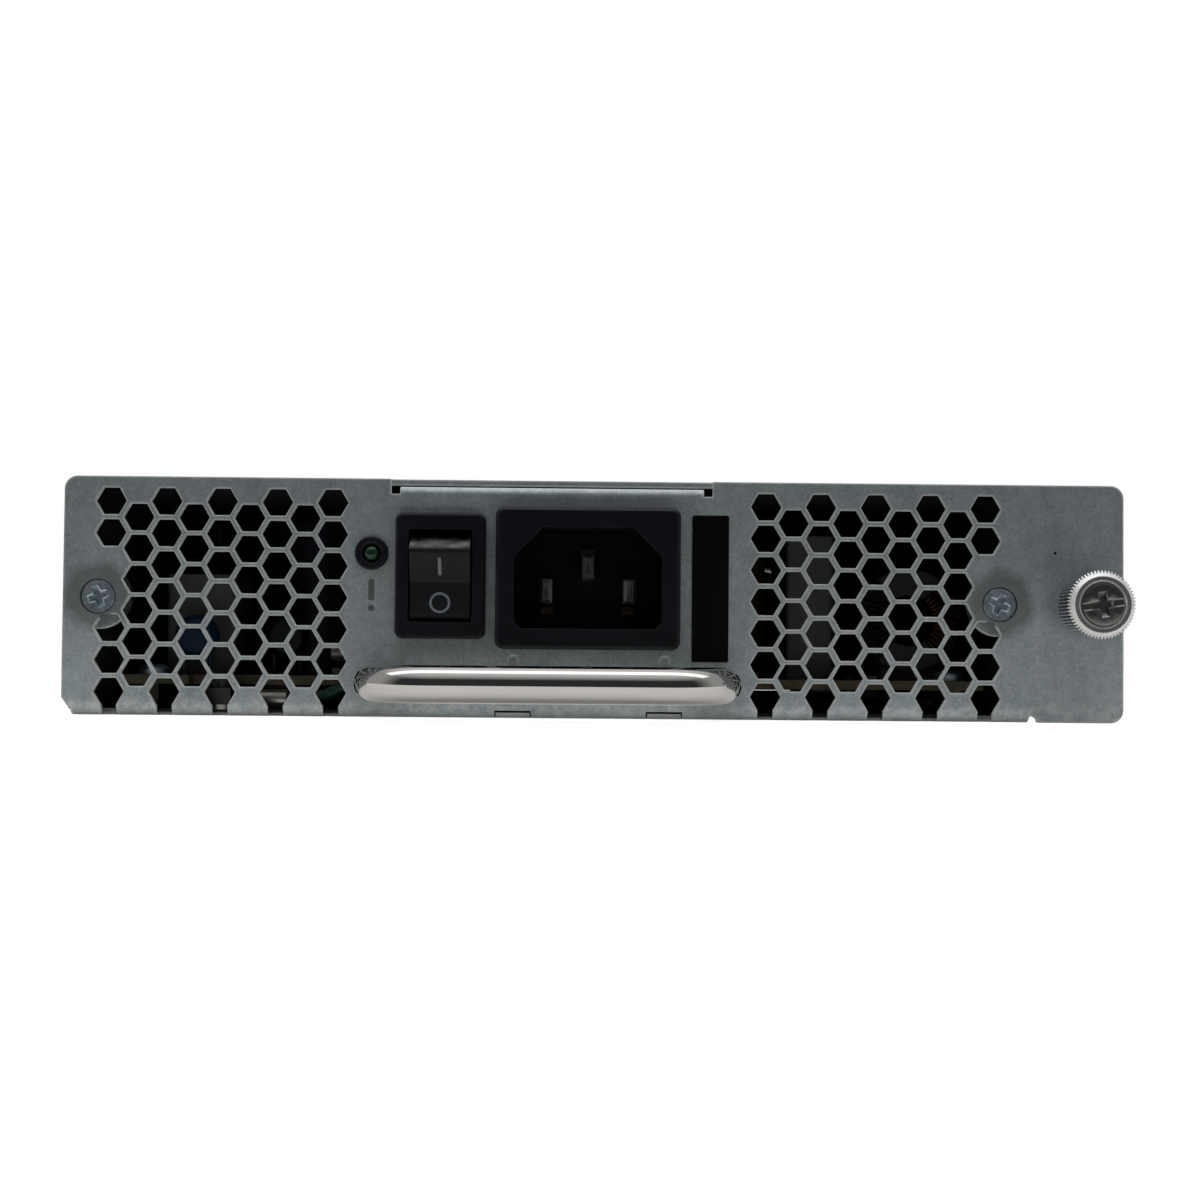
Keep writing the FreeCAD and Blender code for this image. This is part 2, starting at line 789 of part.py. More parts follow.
def thumbscrew_knob():
    points = []
    for i in range(knob_teeth * 2):
        angle = math.pi * i / knob_teeth
        radius = knob_radius if i % 2 == 0 else knob_radius - knob_tooth
        points.append((thumb_x + radius * math.cos(angle), thumb_z + radius * math.sin(angle)))
    top = front - knob_proud
    teeth = along_y(points, top, top + knob_length)
    slope = 1.0
    tall = knob_length
    around = knob_radius + 0.05
    start = V(thumb_x, top, thumb_z)
    envelope = Part.makeCone(knob_radius - slope, around, slope, start, V(0, 1, 0))
    start = V(thumb_x, top + slope, thumb_z)
    envelope = envelope.fuse(Part.makeCylinder(around, tall - slope, start, V(0, 1, 0)))
    knob = teeth.common(envelope)
    hollow = rod(skirt_radius(), V(thumb_x, top + knob_cap, thumb_z),
                 V(thumb_x, top + knob_length + 1, thumb_z))
    seat = rod(3.55 + touch, V(thumb_x, top - 1, thumb_z), V(thumb_x, top + 0.5, thumb_z))
    hole = rod(thumb_shank_radius + thread_gap, V(thumb_x, top - 1, thumb_z),
               V(thumb_x, top + knob_length, thumb_z))
    return knob.cut([hollow, seat, hole])


def thumbscrew_screw():
    top = front - knob_proud
    head = rod(3.55, V(thumb_x, top - 0.35, thumb_z), V(thumb_x, top + 0.5, thumb_z))
    head = head.makeChamfer(0.25, edges_on_plane(head, V(thumb_x, top - 0.35, thumb_z), V(0, 1, 0)))
    shoulder = front - ferrule_height + 0.8 + fit
    shank = rod(thumb_shank_radius, V(thumb_x, top + 0.5, thumb_z), V(thumb_x, shoulder, thumb_z))
    thread_start = panel_back + fit
    end = thread_start + thumb_thread_length
    relief_start = thread_start - thumb_relief
    body = rod(thumb_body_radius, V(thumb_x, shoulder, thumb_z), V(thumb_x, relief_start, thumb_z))
    relief = rod(thumb_shank_radius, V(thumb_x, relief_start, thumb_z), V(thumb_x, thread_start, thumb_z))
    thread = rod(thumb_thread_radius, V(thumb_x, thread_start, thumb_z), V(thumb_x, end, thumb_z))
    thread = thread.makeChamfer(0.4, edges_on_plane(thread, V(thumb_x, end, thumb_z), V(0, 1, 0)))
    screw = union([head, shank, body, relief, thread])
    slot = block(thumb_x - 3.6, thumb_x + 3.6, top - 1, top + 0.1, thumb_z - 0.35, thumb_z + 0.35)
    cross = block(thumb_x - 0.35, thumb_x + 0.35, top - 1, top + 0.2, thumb_z - 1.7, thumb_z + 1.7)
    cutter = slot.fuse(cross)
    cutter.rotate(V(thumb_x, top, thumb_z), V(0, 1, 0), 8)
    return screw.cut(cutter)


# Board, standoffs and insulator


def board_outline():
    notch = earth_x - 6, earth_x + 6
    depth = earth_y + 4.6
    return [
        (-board_half, board_front), (notch[0], board_front), (notch[0], depth), (notch[1], depth),
        (notch[1], board_front), (board_half, board_front), (board_half, board_rear),
        (tongue_half, board_rear), (tongue_half, tongue_rear), (-tongue_half, tongue_rear),
        (-tongue_half, board_rear), (-board_half, board_rear),
    ]


earth_x = -56.0
earth_y = panel_back + 5.8


def main_board():
    board = along_z(board_outline(), board_bottom, board_top)
    holes = []
    for x, y in standoff_places():
        holes.append(rod(screw_radius + touch, V(x, y, board_bottom - 1), V(x, y, board_top + 1)))
    return board.cut(holes)


def standoffs():
    posts = []
    for x, y in standoff_places():
        points = hex_points(x, y, 5.0)
        post = along_z(points, sheet, board_bottom)
        posts.append(post.cut(rod(screw_radius + thread_gap, V(x, y, 0), V(x, y, board_top))))
    return Part.makeCompound(posts)


def hex_points(x, y, flats):
    corner = flats / math.sqrt(3)
    points = []
    for i in range(6):
        turn = math.pi * i / 3
        points.append((x + corner * math.cos(turn), y + corner * math.sin(turn)))
    return points


def board_screws():
    screws = []
    for x, y in standoff_places():
        screws.append(screw_pan_head(V(x, y, board_top), (0, 0, -1), board_thick + 3))
    return Part.makeCompound(screws)


def insulator_sheet():
    wide = board_half - 4
    film = block(-wide, wide, board_front + 12, board_rear - 4, sheet, sheet + film_thick)
    holes = [rod(4.0, V(x, y, 0), V(x, y, 3)) for x, y in standoff_places()]
    return film.cut(holes)


# Parts on the board

transistor_places = (-16.0, 14.0)
diode_places = (-38.0, -8.0, 22.0)


def x_capacitor():
    return rounded_block_z(-69, -57, -103, -85, board_top, 24.5, 0.8)


def film_capacitor():
    return rounded_block_z(42, 50.6, -100, -74, board_top, 32.6, 0.8)


def disc_on_leads(x, y, z, radius, thick):
    disc = rod(radius, V(x, y - thick / 2, z), V(x, y + thick / 2, z))
    rims = edges_on_plane(disc, V(x, y - thick / 2, z), V(0, 1, 0))
    rims += edges_on_plane(disc, V(x, y + thick / 2, z), V(0, 1, 0))
    disc = disc.makeChamfer(thick * 0.3, rims)
    legs = [rod(0.4, V(x + dx, y, board_top), V(x + dx, y, z)) for dx in (-radius * 0.6, radius * 0.6)]
    return union([disc] + legs)


def safety_capacitors():
    places = ((-62.2, -109.5), (-47.0, -106.0), (30.0, -106.0))
    return Part.makeCompound([disc_on_leads(x, y, 13.4, 3.8, 3.4) for x, y in places])


def thermistor():
    return disc_on_leads(3.0, -68.0, 14.5, 6.5, 4.5)


def fuse():
    x, y, z = fuse_place
    glass = rod(2.5, V(x - 6, y, z), V(x + 6, y, z))
    caps = [rod(2.6, V(x + s * 5.2, y, z), V(x + s * 10, y, z)) for s in (-1, 1)]
    return union([glass] + caps)


fuse_place = (-30.0, -95.0, board_top + 4.0)


def fuse_clips():
    x, y, z = fuse_place
    clips = []
    for s in (-1, 1):
        x0, x1 = sorted((x + s * 6.5, x + s * 10.4))
        ring = rod(3.1, V(x0, y, z), V(x1, y, z)).cut(rod(2.6 + thread_gap, V(x0 - 1, y, z), V(x1 + 1, y, z)))
        mouth = block(x0 - 1, x1 + 1, y - 1.6, y + 1.6, z, z + 5)
        foot = block(x0, x1, y - 1.5, y + 1.5, board_top, z - 2.75)
        clips.append(union([ring.cut(mouth), foot]))
    return Part.makeCompound(clips)


def ring_core(x, y, z, outer, inner, width):
    start = V(x, y - width / 2, z)
    end = V(x, y + width / 2, z)
    return rod(outer, start, end).cut(rod(inner, start.sub(V(0, 1, 0)), end.add(V(0, 1, 0))))


def ring_windings(x, y, z, outer, inner, width, wire, turns):
    slabs = []
    step = 2 * math.pi / turns
    for i in range(turns):
        if abs(math.sin(step * (i + 0.5))) > 0.8:
            continue
        middle = (outer + inner) / 2
        reach = (outer - inner) / 2 + wire
        turn = block(-reach, reach, -width / 2 - wire, width / 2 + wire, -wire * 0.48, wire * 0.48)
        turn = turn.cut(block(-reach + wire - touch, reach - wire, -width / 2, width / 2, -wire, wire))
        turn.translate(V(middle, 0, 0))
        turn.rotate(V(0, 0, 0), V(0, 1, 0), math.degrees(step * (i + 0.5)))
        turn.translate(V(x, y, z))
        slabs.append(turn)
    return Part.makeCompound(slabs)


filter_choke = (63.0, -104.0, board_top + 10.6, 9.0, 4.6, 7.0)
output_choke = (45.5, -38.0, board_top + 11.6, 10.0, 5.4, 9.0)


def filter_choke_core():
    x, y, z, outer, inner, width = filter_choke
    seat = block(x - 5, x + 5, y - 2.5, y + 2.5, board_top, z - outer + 0.6)
    return union([ring_core(*filter_choke), seat])


def filter_choke_winding():
    return ring_windings(*filter_choke, 1.2, 18)


def output_choke_core():
    x, y, z, outer, inner, width = output_choke
    seat = block(x - 5, x + 5, y - 3.5, y + 3.5, board_top, z - outer + 0.6)
    return union([ring_core(*output_choke), seat])


def output_choke_winding():
    return ring_windings(*output_choke, 1.5, 16)


def bulk_capacitors():
    cans = []
    for x, y in ((-46.0, -68.0), (-46.0, -43.0)):
        can = rod(11.0, V(x, y, board_top), V(x, y, board_top + 30))
        can = can.makeChamfer(0.8, edges_on_plane(can, V(x, y, board_top + 30), V(0, 0, 1)))
        cans.append(can)
    return Part.makeCompound(cans)


def output_capacitors():
    cans = []
    for x in (38.0, 50.0):
        for y in (-14.0, 0.0, 14.0, 28.0):
            cans.append(rod(5.0, V(x, y, board_top), V(x, y, board_top + 22)))
    return Part.makeCompound(cans)


def heat_sink(x_back, direction, y0, y1, top):
    back = block(*sorted((x_back, x_back + direction * 2.5)), y0, y1, board_top, top)
    fins = []
    count = 5
    for i in range(count):
        z = board_top + 5 + i * (top - board_top - 6) / (count - 1)
        x0, x1 = sorted((x_back + direction * 2, x_back + direction * 7))
        fins.append(block(x0, x1, y0, y1, z - 0.6, z + 0.6))
    return union([back] + fins)


def primary_heat_sink():
    return heat_sink(-sink_x, -1, -78, 40, 35)


def secondary_heat_sink():
    return heat_sink(sink_x, 1, -62, 52, 33)


def power_package(x_face, direction, y, width, tall, thick):
    x0, x1 = sorted((x_face, x_face + direction * thick))
    case = block(x0, x1, y - width / 2, y + width / 2, board_top + 5, board_top + 5 + tall)
    middle = (x0 + x1) / 2
    legs = []
    for place in (y - width * 0.34, y, y + width * 0.34):
        legs.append(block(middle - 0.4, middle + 0.4, place - 0.6, place + 0.6, board_top, board_top + 5.2))
    return union([case] + legs)


def bridge_rectifier():
    y = -64
    z = board_top + 15.8
    hole = rod(1.6, V(-sink_x - 1, y, z), V(-sink_x + 6, y, z))
    return power_package(-sink_x, 1, y, 22, 16, 4.5).cut(hole)


def power_transistors():
    return Part.makeCompound([package_with_hole(-sink_x, 1, y) for y in transistor_places])


def package_with_hole(x_face, direction, y):
    case = power_package(x_face, direction, y, 15.6, 20, package_thick)
    hole = rod(1.7, V(x_face - 6, y, package_hole_z), V(x_face + 6, y, package_hole_z))
    return case.cut(hole)


def rectifier_diodes():
    return Part.makeCompound([package_with_hole(sink_x, -1, y) for y in diode_places])


def package_screws():
    screws = []
    for y in transistor_places:
        screws.append(screw_pan_head(V(-sink_x + package_thick, y, package_hole_z), (-1, 0, 0), 4.6))
    for y in diode_places:
        screws.append(screw_pan_head(V(sink_x - package_thick, y, package_hole_z), (1, 0, 0), 4.6))
    return Part.makeCompound(screws)


transformer = (-6.0, -30.0)


def transformer_core():
    x, y = transformer
    outer = block(x - 20, x + 20, y - 7, y + 7, board_top + 1, board_top + 30)
    windows = []
    for place in (x - 11.5, x + 11.5):
        windows.append(block(place - 5.5, place + 5.5, y - 8, y + 8, board_top + 7, board_top + 24))
    feet = [block(x - 17, x + 17, y + s * 4 - 1, y + s * 4 + 1, board_top, board_top + 1) for s in (-1, 1)]
    return union([outer.cut(windows)] + feet)


def transformer_coil():
    x, y = transformer
    wound = rounded_block_z(x - 16.4, x + 16.4, y - 17, y + 17, board_top + 7.6, board_top + 23.4, 5)
    leg = block(x - 6, x + 6, y - 7, y + 7, board_top, board_top + 30)
    flanges = []
    for z in (board_top + 7.1, board_top + 23.4):
        flanges.append(rounded_block_z(x - 16.8, x + 16.8, y - 18, y + 18, z, z + 0.5, 4))
    return union([wound] + flanges).cut(leg)


boost_choke = (29.0, -76.0)


def boost_choke_core():
    x, y = boost_choke
    outer = block(x - 5.5, x + 5.5, y - 14, y + 14, board_top, board_top + 28)
    windows = []
    for place in (y - 8, y + 8):
        windows.append(block(x - 6, x + 6, place - 4, place + 4, board_top + 5, board_top + 23))
    return outer.cut(windows)


def boost_choke_coil():
    x, y = boost_choke
    wound = rounded_block_z(x - 10.8, x + 10.8, y - 11.6, y + 11.6, board_top + 5.5, board_top + 22.5, 4)
    leg = block(x - 5.5, x + 5.5, y - 4, y + 4, board_top, board_top + 30)
    return wound.cut(leg)


def control_board():
    board = block(22.0, 23.2, -48, 30, board_top, 34)
    chips = []
    for y, z in ((-38, 20), (-20, 24), (-2, 18), (16, 24)):
        chips.append(block(23.2, 24.9, y - 5, y + 5, z - 3.8, z + 3.8))
    return union([board] + chips)


# Fans


def fan_holes(side):
    return [(side * fan_x + a * fan_hole, fan_z + a * fan_hole) for a in (-1, 1)]


def fan_frame(side):
    x = side * fan_x
    y0 = rear - sheet - fan_depth
    y1 = rear - sheet
    h = fan_size / 2
    shell = rounded_block_y(x - h, x + h, y0, y1, fan_z - h, fan_z + h, 2.5)
    waist = block(x - h - 1, x + h + 1, y0 + 4, y1 - 4, fan_z - h - 1, fan_z + h + 1)
    waist = waist.cut(rod(fan_duct + 0.75, V(x, y0, fan_z), V(x, y1, fan_z)))
    duct = rod(fan_duct, V(x, y0 - 1, fan_z), V(x, y1 + 1, fan_z))
    cuts = [waist, duct]
    for hx, hz in fan_holes(side):
        cuts.append(rod(screw_radius + thread_gap, V(hx, y0 - 1, hz), V(hx, y1 + 1, hz)))
    frame = shell.cut(cuts)
    arms = []
    for i in range(4):
        arm = block(0, fan_duct + 0.4, y1 - 3, y1 - 0.5, -1.0, 1.0)
        arm.rotate(V(0, 0, 0), V(0, 1, 0), 45 + 90 * i)
        arm.translate(V(x, 0, fan_z))
        arms.append(arm)
    base = rod(fan_hub, V(x, y1 - 3, fan_z), V(x, y1 - 0.5, fan_z))
    boss = rod(3.0, V(x, y1 - 8, fan_z), V(x, y1 - 3, fan_z))
    bore = rod(1.0 + pivot_gap, V(x, y1 - 9, fan_z), V(x, y1 - 2, fan_z))
    return union([frame, base, boss] + arms).cut(bore)


def fan_rotor(side):
    x = side * fan_x
    y0 = rear - sheet - fan_depth + 1.2
    y1 = rear - sheet - 3.5
    hub = rod(fan_hub, V(x, y0, fan_z), V(x, y1, fan_z))
    hub = hub.makeFillet(1.2, edges_on_plane(hub, V(x, y0, fan_z), V(0, 1, 0)))
    hollow = rod(fan_hub - 1.0, V(x, y1 - 6, fan_z), V(x, y1 + 1, fan_z))
    shaft = rod(1.0, V(x, y1 - 6.5, fan_z), V(x, y1 + 1.0, fan_z))
    blades = [fan_blade(i * 360.0 / fan_blades) for i in range(fan_blades)]
    for blade in blades:
        blade.translate(V(x, y0 + 10.5, fan_z))
    return union([hub.cut(hollow), shaft] + blades)


def fan_blade(turn):
    sections = []
    for radius, lean, chord in ((fan_hub - 1.8, 34, 14), (fan_duct, 56, 17)):
        a = math.radians(lean)
        along = V(math.sin(a), math.cos(a), 0) * (chord / 2)
        across = V(math.cos(a), -math.sin(a), 0) * 0.4
        points = [along.add(across), across.sub(along), V(0, 0, 0).sub(along).sub(across), along.sub(across)]
        corners = [p.add(V(0, 0, radius)) for p in points]
        sections.append(Part.makePolygon(corners + corners[:1]))
    blade = Part.makeLoft(sections, True, True)
    blade = blade.common(rod(fan_duct - blade_gap, V(0, -20, 0), V(0, 20, 0)))
    blade.rotate(V(0, 0, 0), V(0, 1, 0), turn)
    return blade


def fan_screws():
    screws = []
    for side in (-1, 1):
        for x, z in fan_holes(side):
            screws.append(screw_pan_head(V(x, rear, z), (0, -1, 0), 6, 2.6, 1.6))
    return Part.makeCompound(screws)


# Output connector


def power_slots():
    return [-22.5 + i * 5.0 for i in range(6)]


def signal_slots():
    return [(9.0 + i * 2.54, board_top + 3.2 + j * 2.54) for i in range(6) for j in range(3)]


def connector_housing():
    back = rear + connector_proud
    y0 = back - connector_length
    body = block(-connector_half, connector_half, y0, back, board_top, board_top + connector_height)
    body = body.makeChamfer(0.8, [e for e in body.Edges if e.BoundBox.YMin > back - 1e-6])
    cuts = []
    for x in power_slots():
        cuts.append(block(x - 1.1, x + 1.1, back - 10, back + 1,
                          board_top + 1.5, board_top + connector_height - 1.5))
    for x, z in signal_slots():
        cuts.append(block(x - 0.6, x + 0.6, back - 8, back + 1, z - 0.6, z + 0.6))
    return body.cut(cuts)


def power_contacts():
    back = rear + connector_proud
    low, high = board_top + 1.5, board_top + connector_height - 1.5
    return Part.makeCompound([block(x + s * 0.9 - 0.2, x + s * 0.9 + 0.2, back - 10, back - 1.2, low, high)
                              for x in power_slots() for s in (-1, 1)])


def signal_contacts():
    back = rear + connector_proud
    contacts = []
    for x, z in signal_slots():
        contacts.append(block(x - 0.3, x + 0.3, back - 8, back - 1.0, z - 0.6, z - 0.2))
    return Part.makeCompound(contacts)


# Wires


def earth_terminal():
    ring = rod(4.0, V(earth_x, earth_y, sheet), V(earth_x, earth_y, sheet + 0.8))
    tongue = block(earth_x + 2, earth_x + 6.5, earth_y - 1.6, earth_y + 1.6, sheet, sheet + 0.8)
    barrel = rod(1.7, V(earth_x + 6, earth_y, sheet + 1.7), V(earth_x + 11, earth_y, sheet + 1.7))
    bore = rod(1.1, V(earth_x + 5, earth_y, sheet + 1.7), V(earth_x + 12, earth_y, sheet + 1.7))
    hole = rod(2.0, V(earth_x, earth_y, 0), V(earth_x, earth_y, 3))
    return union([ring, tongue, barrel]).cut([bore, hole])


def earth_stud():
    stud = rod(2.0, V(earth_x, earth_y, sheet), V(earth_x, earth_y, sheet + 6))
    nut = along_z(hex_points(earth_x, earth_y, 7.0), sheet + 0.8, sheet + 3.6)
    return union([stud, nut])


def wire(points, radius=1.05):
    return bent_tube(points, radius)


def tail(place):
    x, z = place
    return (x, front + inlet_back + tab_length, z)


def switch_tail(index):
    x, z = terminal_places()[index]
    return (x, front + switch_back + tab_length, z)


def earth_wire():
    start = tail(blade_places()[1])
    x, y, z = start
    points = [start, (x, y + 8, z), (x - 3, y + 8, 10.0), (x - 34, earth_y - 0.6, 10.0),
              (earth_x + 17, earth_y, 2.7), (earth_x + 9, earth_y, 2.7)]
    return wire(points)


def mains_wires():
    live = tail(blade_places()[0])
    neutral = tail(blade_places()[2])
    low_right = switch_tail(1)
    low_left = switch_tail(0)
    first = [live, (live[0], live[1] + 9, live[2]), (low_right[0], live[1] + 9, low_right[2]), low_right]
    second = [neutral, (neutral[0], neutral[1] + 14, neutral[2]),
              (low_left[0], neutral[1] + 14, low_left[2]), low_left]
    return Part.makeCompound([wire(first), wire(second)])


def switch_wires():
    left = switch_tail(2)
    right = switch_tail(3)
    first = [left, (left[0], left[1] + 11, left[2])]
    first += [(left[0] - 11, left[1] + 15, 24), (left[0] - 11, left[1] + 15, board_top)]
    second = [right, (right[0], right[1] + 15, right[2])]
    second += [(right[0] - 12, right[1] + 25, 26), (right[0] - 12, right[1] + 25, board_top)]
    return Part.makeCompound([wire(first), wire(second)])


def led_wires():
    wires = []
    for dx in (-1.27, 1.27):
        start = (lamp_x + dx, front + 10, lamp_z)
        drop = lamp_x + dx - 4
        points = [start, (lamp_x + dx, front + 15, lamp_z), (drop, front + 16, board_top + 0.5)]
        wires.append(wire(points, 0.5))
    return Part.makeCompound(wires)


def fan_wires():
    wires = []
    y0 = rear - sheet - fan_depth
    for side in (-1, 1):
        x = side * (fan_x - fan_size / 2 + 1.6)
        points = [(x, y0, 33.0), (x, y0 - 6, 33.0), (x - side * 4, y0 - 7, board_top + 0.5)]
        wires.append(wire(points, 1.0))
    return Part.makeCompound(wires)


NODES = {
    "base_pan": base_pan,
    "top_cover": top_cover,
    "rear_panel": rear_panel,
    "cover_screws": cover_screws,
    "front_screws": front_screws,
    "handle": handle,
    "handle_screws": handle_screws,
    "inlet_housing": inlet_housing,
    "inlet_blades": inlet_blades,
    "switch_housing": switch_housing,
    "switch_terminals": switch_terminals,
    "switch_rocker": switch_rocker,
    "led_holder": led_holder,
    "led_lamp": led_lamp,
    "blank_label": blank_label,
    "thumbscrew_ferrule": thumbscrew_ferrule,
    "thumbscrew_spring": thumbscrew_spring,
    "thumbscrew_knob": thumbscrew_knob,
    "thumbscrew_screw": thumbscrew_screw,
    "main_board": main_board,
    "standoffs": standoffs,
    "board_screws": board_screws,
    "insulator_sheet": insulator_sheet,
    "x_capacitor": x_capacitor,
    "film_capacitor": film_capacitor,
    "safety_capacitors": safety_capacitors,
    "thermistor": thermistor,
    "fuse": fuse,
    "fuse_clips": fuse_clips,
    "filter_choke_core": filter_choke_core,
    "filter_choke_winding": filter_choke_winding,
    "output_choke_core": output_choke_core,
    "output_choke_winding": output_choke_winding,
    "bulk_capacitors": bulk_capacitors,
    "output_capacitors": output_capacitors,
    "primary_heat_sink": primary_heat_sink,
    "secondary_heat_sink": secondary_heat_sink,
    "bridge_rectifier": bridge_rectifier,
    "power_transistors": power_transistors,
    "rectifier_diodes": rectifier_diodes,
    "package_screws": package_screws,
    "transformer_core": transformer_core,
    "transformer_coil": transformer_coil,
    "boost_choke_core": boost_choke_core,
    "boost_choke_coil": boost_choke_coil,
    "control_board": control_board,
    "fan_frame_left": lambda: fan_frame(-1),
    "fan_frame_right": lambda: fan_frame(1),
    "fan_rotor_left": lambda: fan_rotor(-1),
    "fan_rotor_right": lambda: fan_rotor(1),
    "fan_screws": fan_screws,
    "connector_housing": connector_housing,
    "power_contacts": power_contacts,
    "signal_contacts": signal_contacts,
    "earth_stud": earth_stud,
    "earth_terminal": earth_terminal,
    "earth_wire": earth_wire,
    "mains_wires": mains_wires,
    "switch_wires": switch_wires,
    "signal_wires": lambda: Part.makeCompound(led_wires().Solids + fan_wires().Solids),
}

os.makedirs("parts", exist_ok=True)
for name, make in NODES.items():
    shape = make()
    shape.exportStep("parts/" + name + ".step")
    print(name, len(shape.Solids), round(shape.Volume, 1), shape.isValid())
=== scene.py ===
import json
import math
import random

import bmesh
import bpy
from mathutils import Matrix, Vector
from mathutils.bvhtree import BVHTree


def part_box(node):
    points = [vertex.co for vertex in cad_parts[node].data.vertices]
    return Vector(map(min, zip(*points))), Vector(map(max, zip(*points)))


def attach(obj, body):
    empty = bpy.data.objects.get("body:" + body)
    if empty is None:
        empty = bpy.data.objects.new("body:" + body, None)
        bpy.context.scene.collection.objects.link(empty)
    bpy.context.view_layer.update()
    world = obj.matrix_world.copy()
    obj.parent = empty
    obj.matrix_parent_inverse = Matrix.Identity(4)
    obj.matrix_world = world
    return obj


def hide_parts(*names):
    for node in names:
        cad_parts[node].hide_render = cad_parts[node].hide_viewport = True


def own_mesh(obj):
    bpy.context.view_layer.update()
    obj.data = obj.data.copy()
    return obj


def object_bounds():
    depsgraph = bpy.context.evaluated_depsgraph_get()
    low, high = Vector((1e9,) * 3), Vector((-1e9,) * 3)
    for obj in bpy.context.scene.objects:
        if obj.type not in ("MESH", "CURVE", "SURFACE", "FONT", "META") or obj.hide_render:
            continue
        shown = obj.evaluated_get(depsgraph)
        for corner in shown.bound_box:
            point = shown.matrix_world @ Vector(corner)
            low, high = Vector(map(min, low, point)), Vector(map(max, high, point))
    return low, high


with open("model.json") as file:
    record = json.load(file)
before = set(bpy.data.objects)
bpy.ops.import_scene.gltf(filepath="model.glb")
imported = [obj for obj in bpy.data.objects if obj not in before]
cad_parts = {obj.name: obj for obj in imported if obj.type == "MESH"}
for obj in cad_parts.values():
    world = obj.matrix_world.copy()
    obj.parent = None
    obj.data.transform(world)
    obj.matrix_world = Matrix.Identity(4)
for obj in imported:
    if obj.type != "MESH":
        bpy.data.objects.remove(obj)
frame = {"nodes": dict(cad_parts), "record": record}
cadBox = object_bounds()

mm = 0.001
quarter = math.pi / 2
print("frame loaded:", len(frame["nodes"]), "nodes")


# places on the object are read from the frame
def vec(x=0.0, y=0.0, z=0.0):
    return Vector((x, y, z))


def boxOf(node):
    low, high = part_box(node)
    return Vector(low), Vector(high)


def faceOf(node):
    # a node's box and the middle of its front face
    low, high = boxOf(node)
    return low, high, vec((low.x + high.x) / 2, low.y, (low.z + high.z) / 2)


def islandsOf(node):
    # one box for each separate solid in a node
    mesh = frame["nodes"][node].data
    keyOf = [tuple(round(c * 2e5) for c in v.co) for v in mesh.vertices]
    parent = {key: key for key in keyOf}

    def rootOf(key):
        while parent[key] != key:
            parent[key] = parent[parent[key]]
            key = parent[key]
        return key

    for edge in mesh.edges:
        first, second = (rootOf(keyOf[i]) for i in edge.vertices)
        parent[first] = second
    solids = {}
    for key, vertex in zip(keyOf, mesh.vertices):
        solids.setdefault(rootOf(key), []).append(vertex.co)
    found = [tuple(Vector([pick(p[i] for p in points) for i in range(3)]) for pick in (min, max))
             for points in solids.values()]
    return sorted(found, key=lambda pair: (round(pair[0].x, 4), round(pair[0].y, 4), pair[0].z))


panelFront = boxOf("base_pan")[0].y
intoCase = vec(0, 1, 0)
acrossUpOut = (vec(1, 0, 0), vec(0, 0, 1), vec(0, -1, 0))  # the directions of the panel's face


def addNode(tree, kind, inputs=None, **settings):
    # one node, with its settings made and its inputs linked or set
    node = tree.nodes.new(kind)
    for name, value in settings.items():
        setattr(node, name, value)
    for key, value in (inputs or {}).items():
        if isinstance(value, bpy.types.NodeSocket):
            tree.links.new(value, node.inputs[key])
        else:
            node.inputs[key].default_value = value
    return node


def feed(tree, inputs, values):
    for label, value in values.items():
        tree.links.new(value, inputs[label])


def newTree(name, kind, inputs, outputs):
    tree = bpy.data.node_groups.new(name, kind)
    for label, socketKind, value in inputs:
        socket = tree.interface.new_socket(name=label, in_out="INPUT", socket_type="NodeSocket" + socketKind)
        if value is not None:
            socket.default_value = value
    for label, socketKind in outputs:
        tree.interface.new_socket(name=label, in_out="OUTPUT", socket_type="NodeSocket" + socketKind)
    return tree, addNode(tree, "NodeGroupInput").outputs, addNode(tree, "NodeGroupOutput").inputs


def calc(tree, operation, first, second=0.0, clamp=False):
    values = {0: first, 1: second}
    return addNode(tree, "ShaderNodeMath", values, operation=operation, use_clamp=clamp).outputs[0]


def times(tree, first, second):
    return calc(tree, "MULTIPLY", first, second)


def plus(tree, first, second, clamp=False):
    return calc(tree, "ADD", first, second, clamp)


def vectorMath(tree, operation, *values):
    return addNode(tree, "ShaderNodeVectorMath", dict(enumerate(values)), operation=operation).outputs


def mixed(tree, factor, first, second):
    return addNode(tree, "ShaderNodeMix", {0: factor, 6: first, 7: second}, data_type="RGBA").outputs[2]


def ramp(tree, value, low, high):
    return addNode(tree, "ShaderNodeMapRange", {"Value": value, "From Min": low, "From Max": high}).outputs[0]


def noise(tree, place, scale, detail=3.0, rough=0.55):
    inputs = {"Vector": place, "Scale": scale, "Detail": detail, "Roughness": rough}
    return addNode(tree, "ShaderNodeTexNoise", inputs).outputs["Fac"]


def objectPlace(tree):
    return addNode(tree, "ShaderNodeTexCoord").outputs["Object"]


def splitUp(tree, vector):
    return addNode(tree, "ShaderNodeSeparateXYZ", {0: vector}).outputs


def facingOf(tree, normal):
    return splitUp(tree, addNode(tree, "ShaderNodeNewGeometry").outputs[normal])


def voronoi(tree, place, scale):
    # distances and one chance value for each cell
    cells = addNode(tree, "ShaderNodeTexVoronoi", {"Vector": place, "Scale": scale}).outputs
    return cells["Distance"], addNode(tree, "ShaderNodeSeparateColor", {0: cells["Color"]}).outputs


def mapped(tree, vector, **settings):
    return addNode(tree, "ShaderNodeMapping", {"Vector": vector, **settings}).outputs[0]


def loneDots(tree, place, scale, rare, size):
    # a few small round dots, in the cells whose chance value is high
    distance, tone = voronoi(tree, place, scale)
    near = calc(tree, "SUBTRACT", 1.0, ramp(tree, distance, size * 0.4, size))
    return times(tree, ramp(tree, tone[0], rare, rare + 0.01), near)


# shader groups shared by several finishes
lookOutputs = [("Colour", "Color"), ("Roughness", "Float"), ("Height", "Float")]


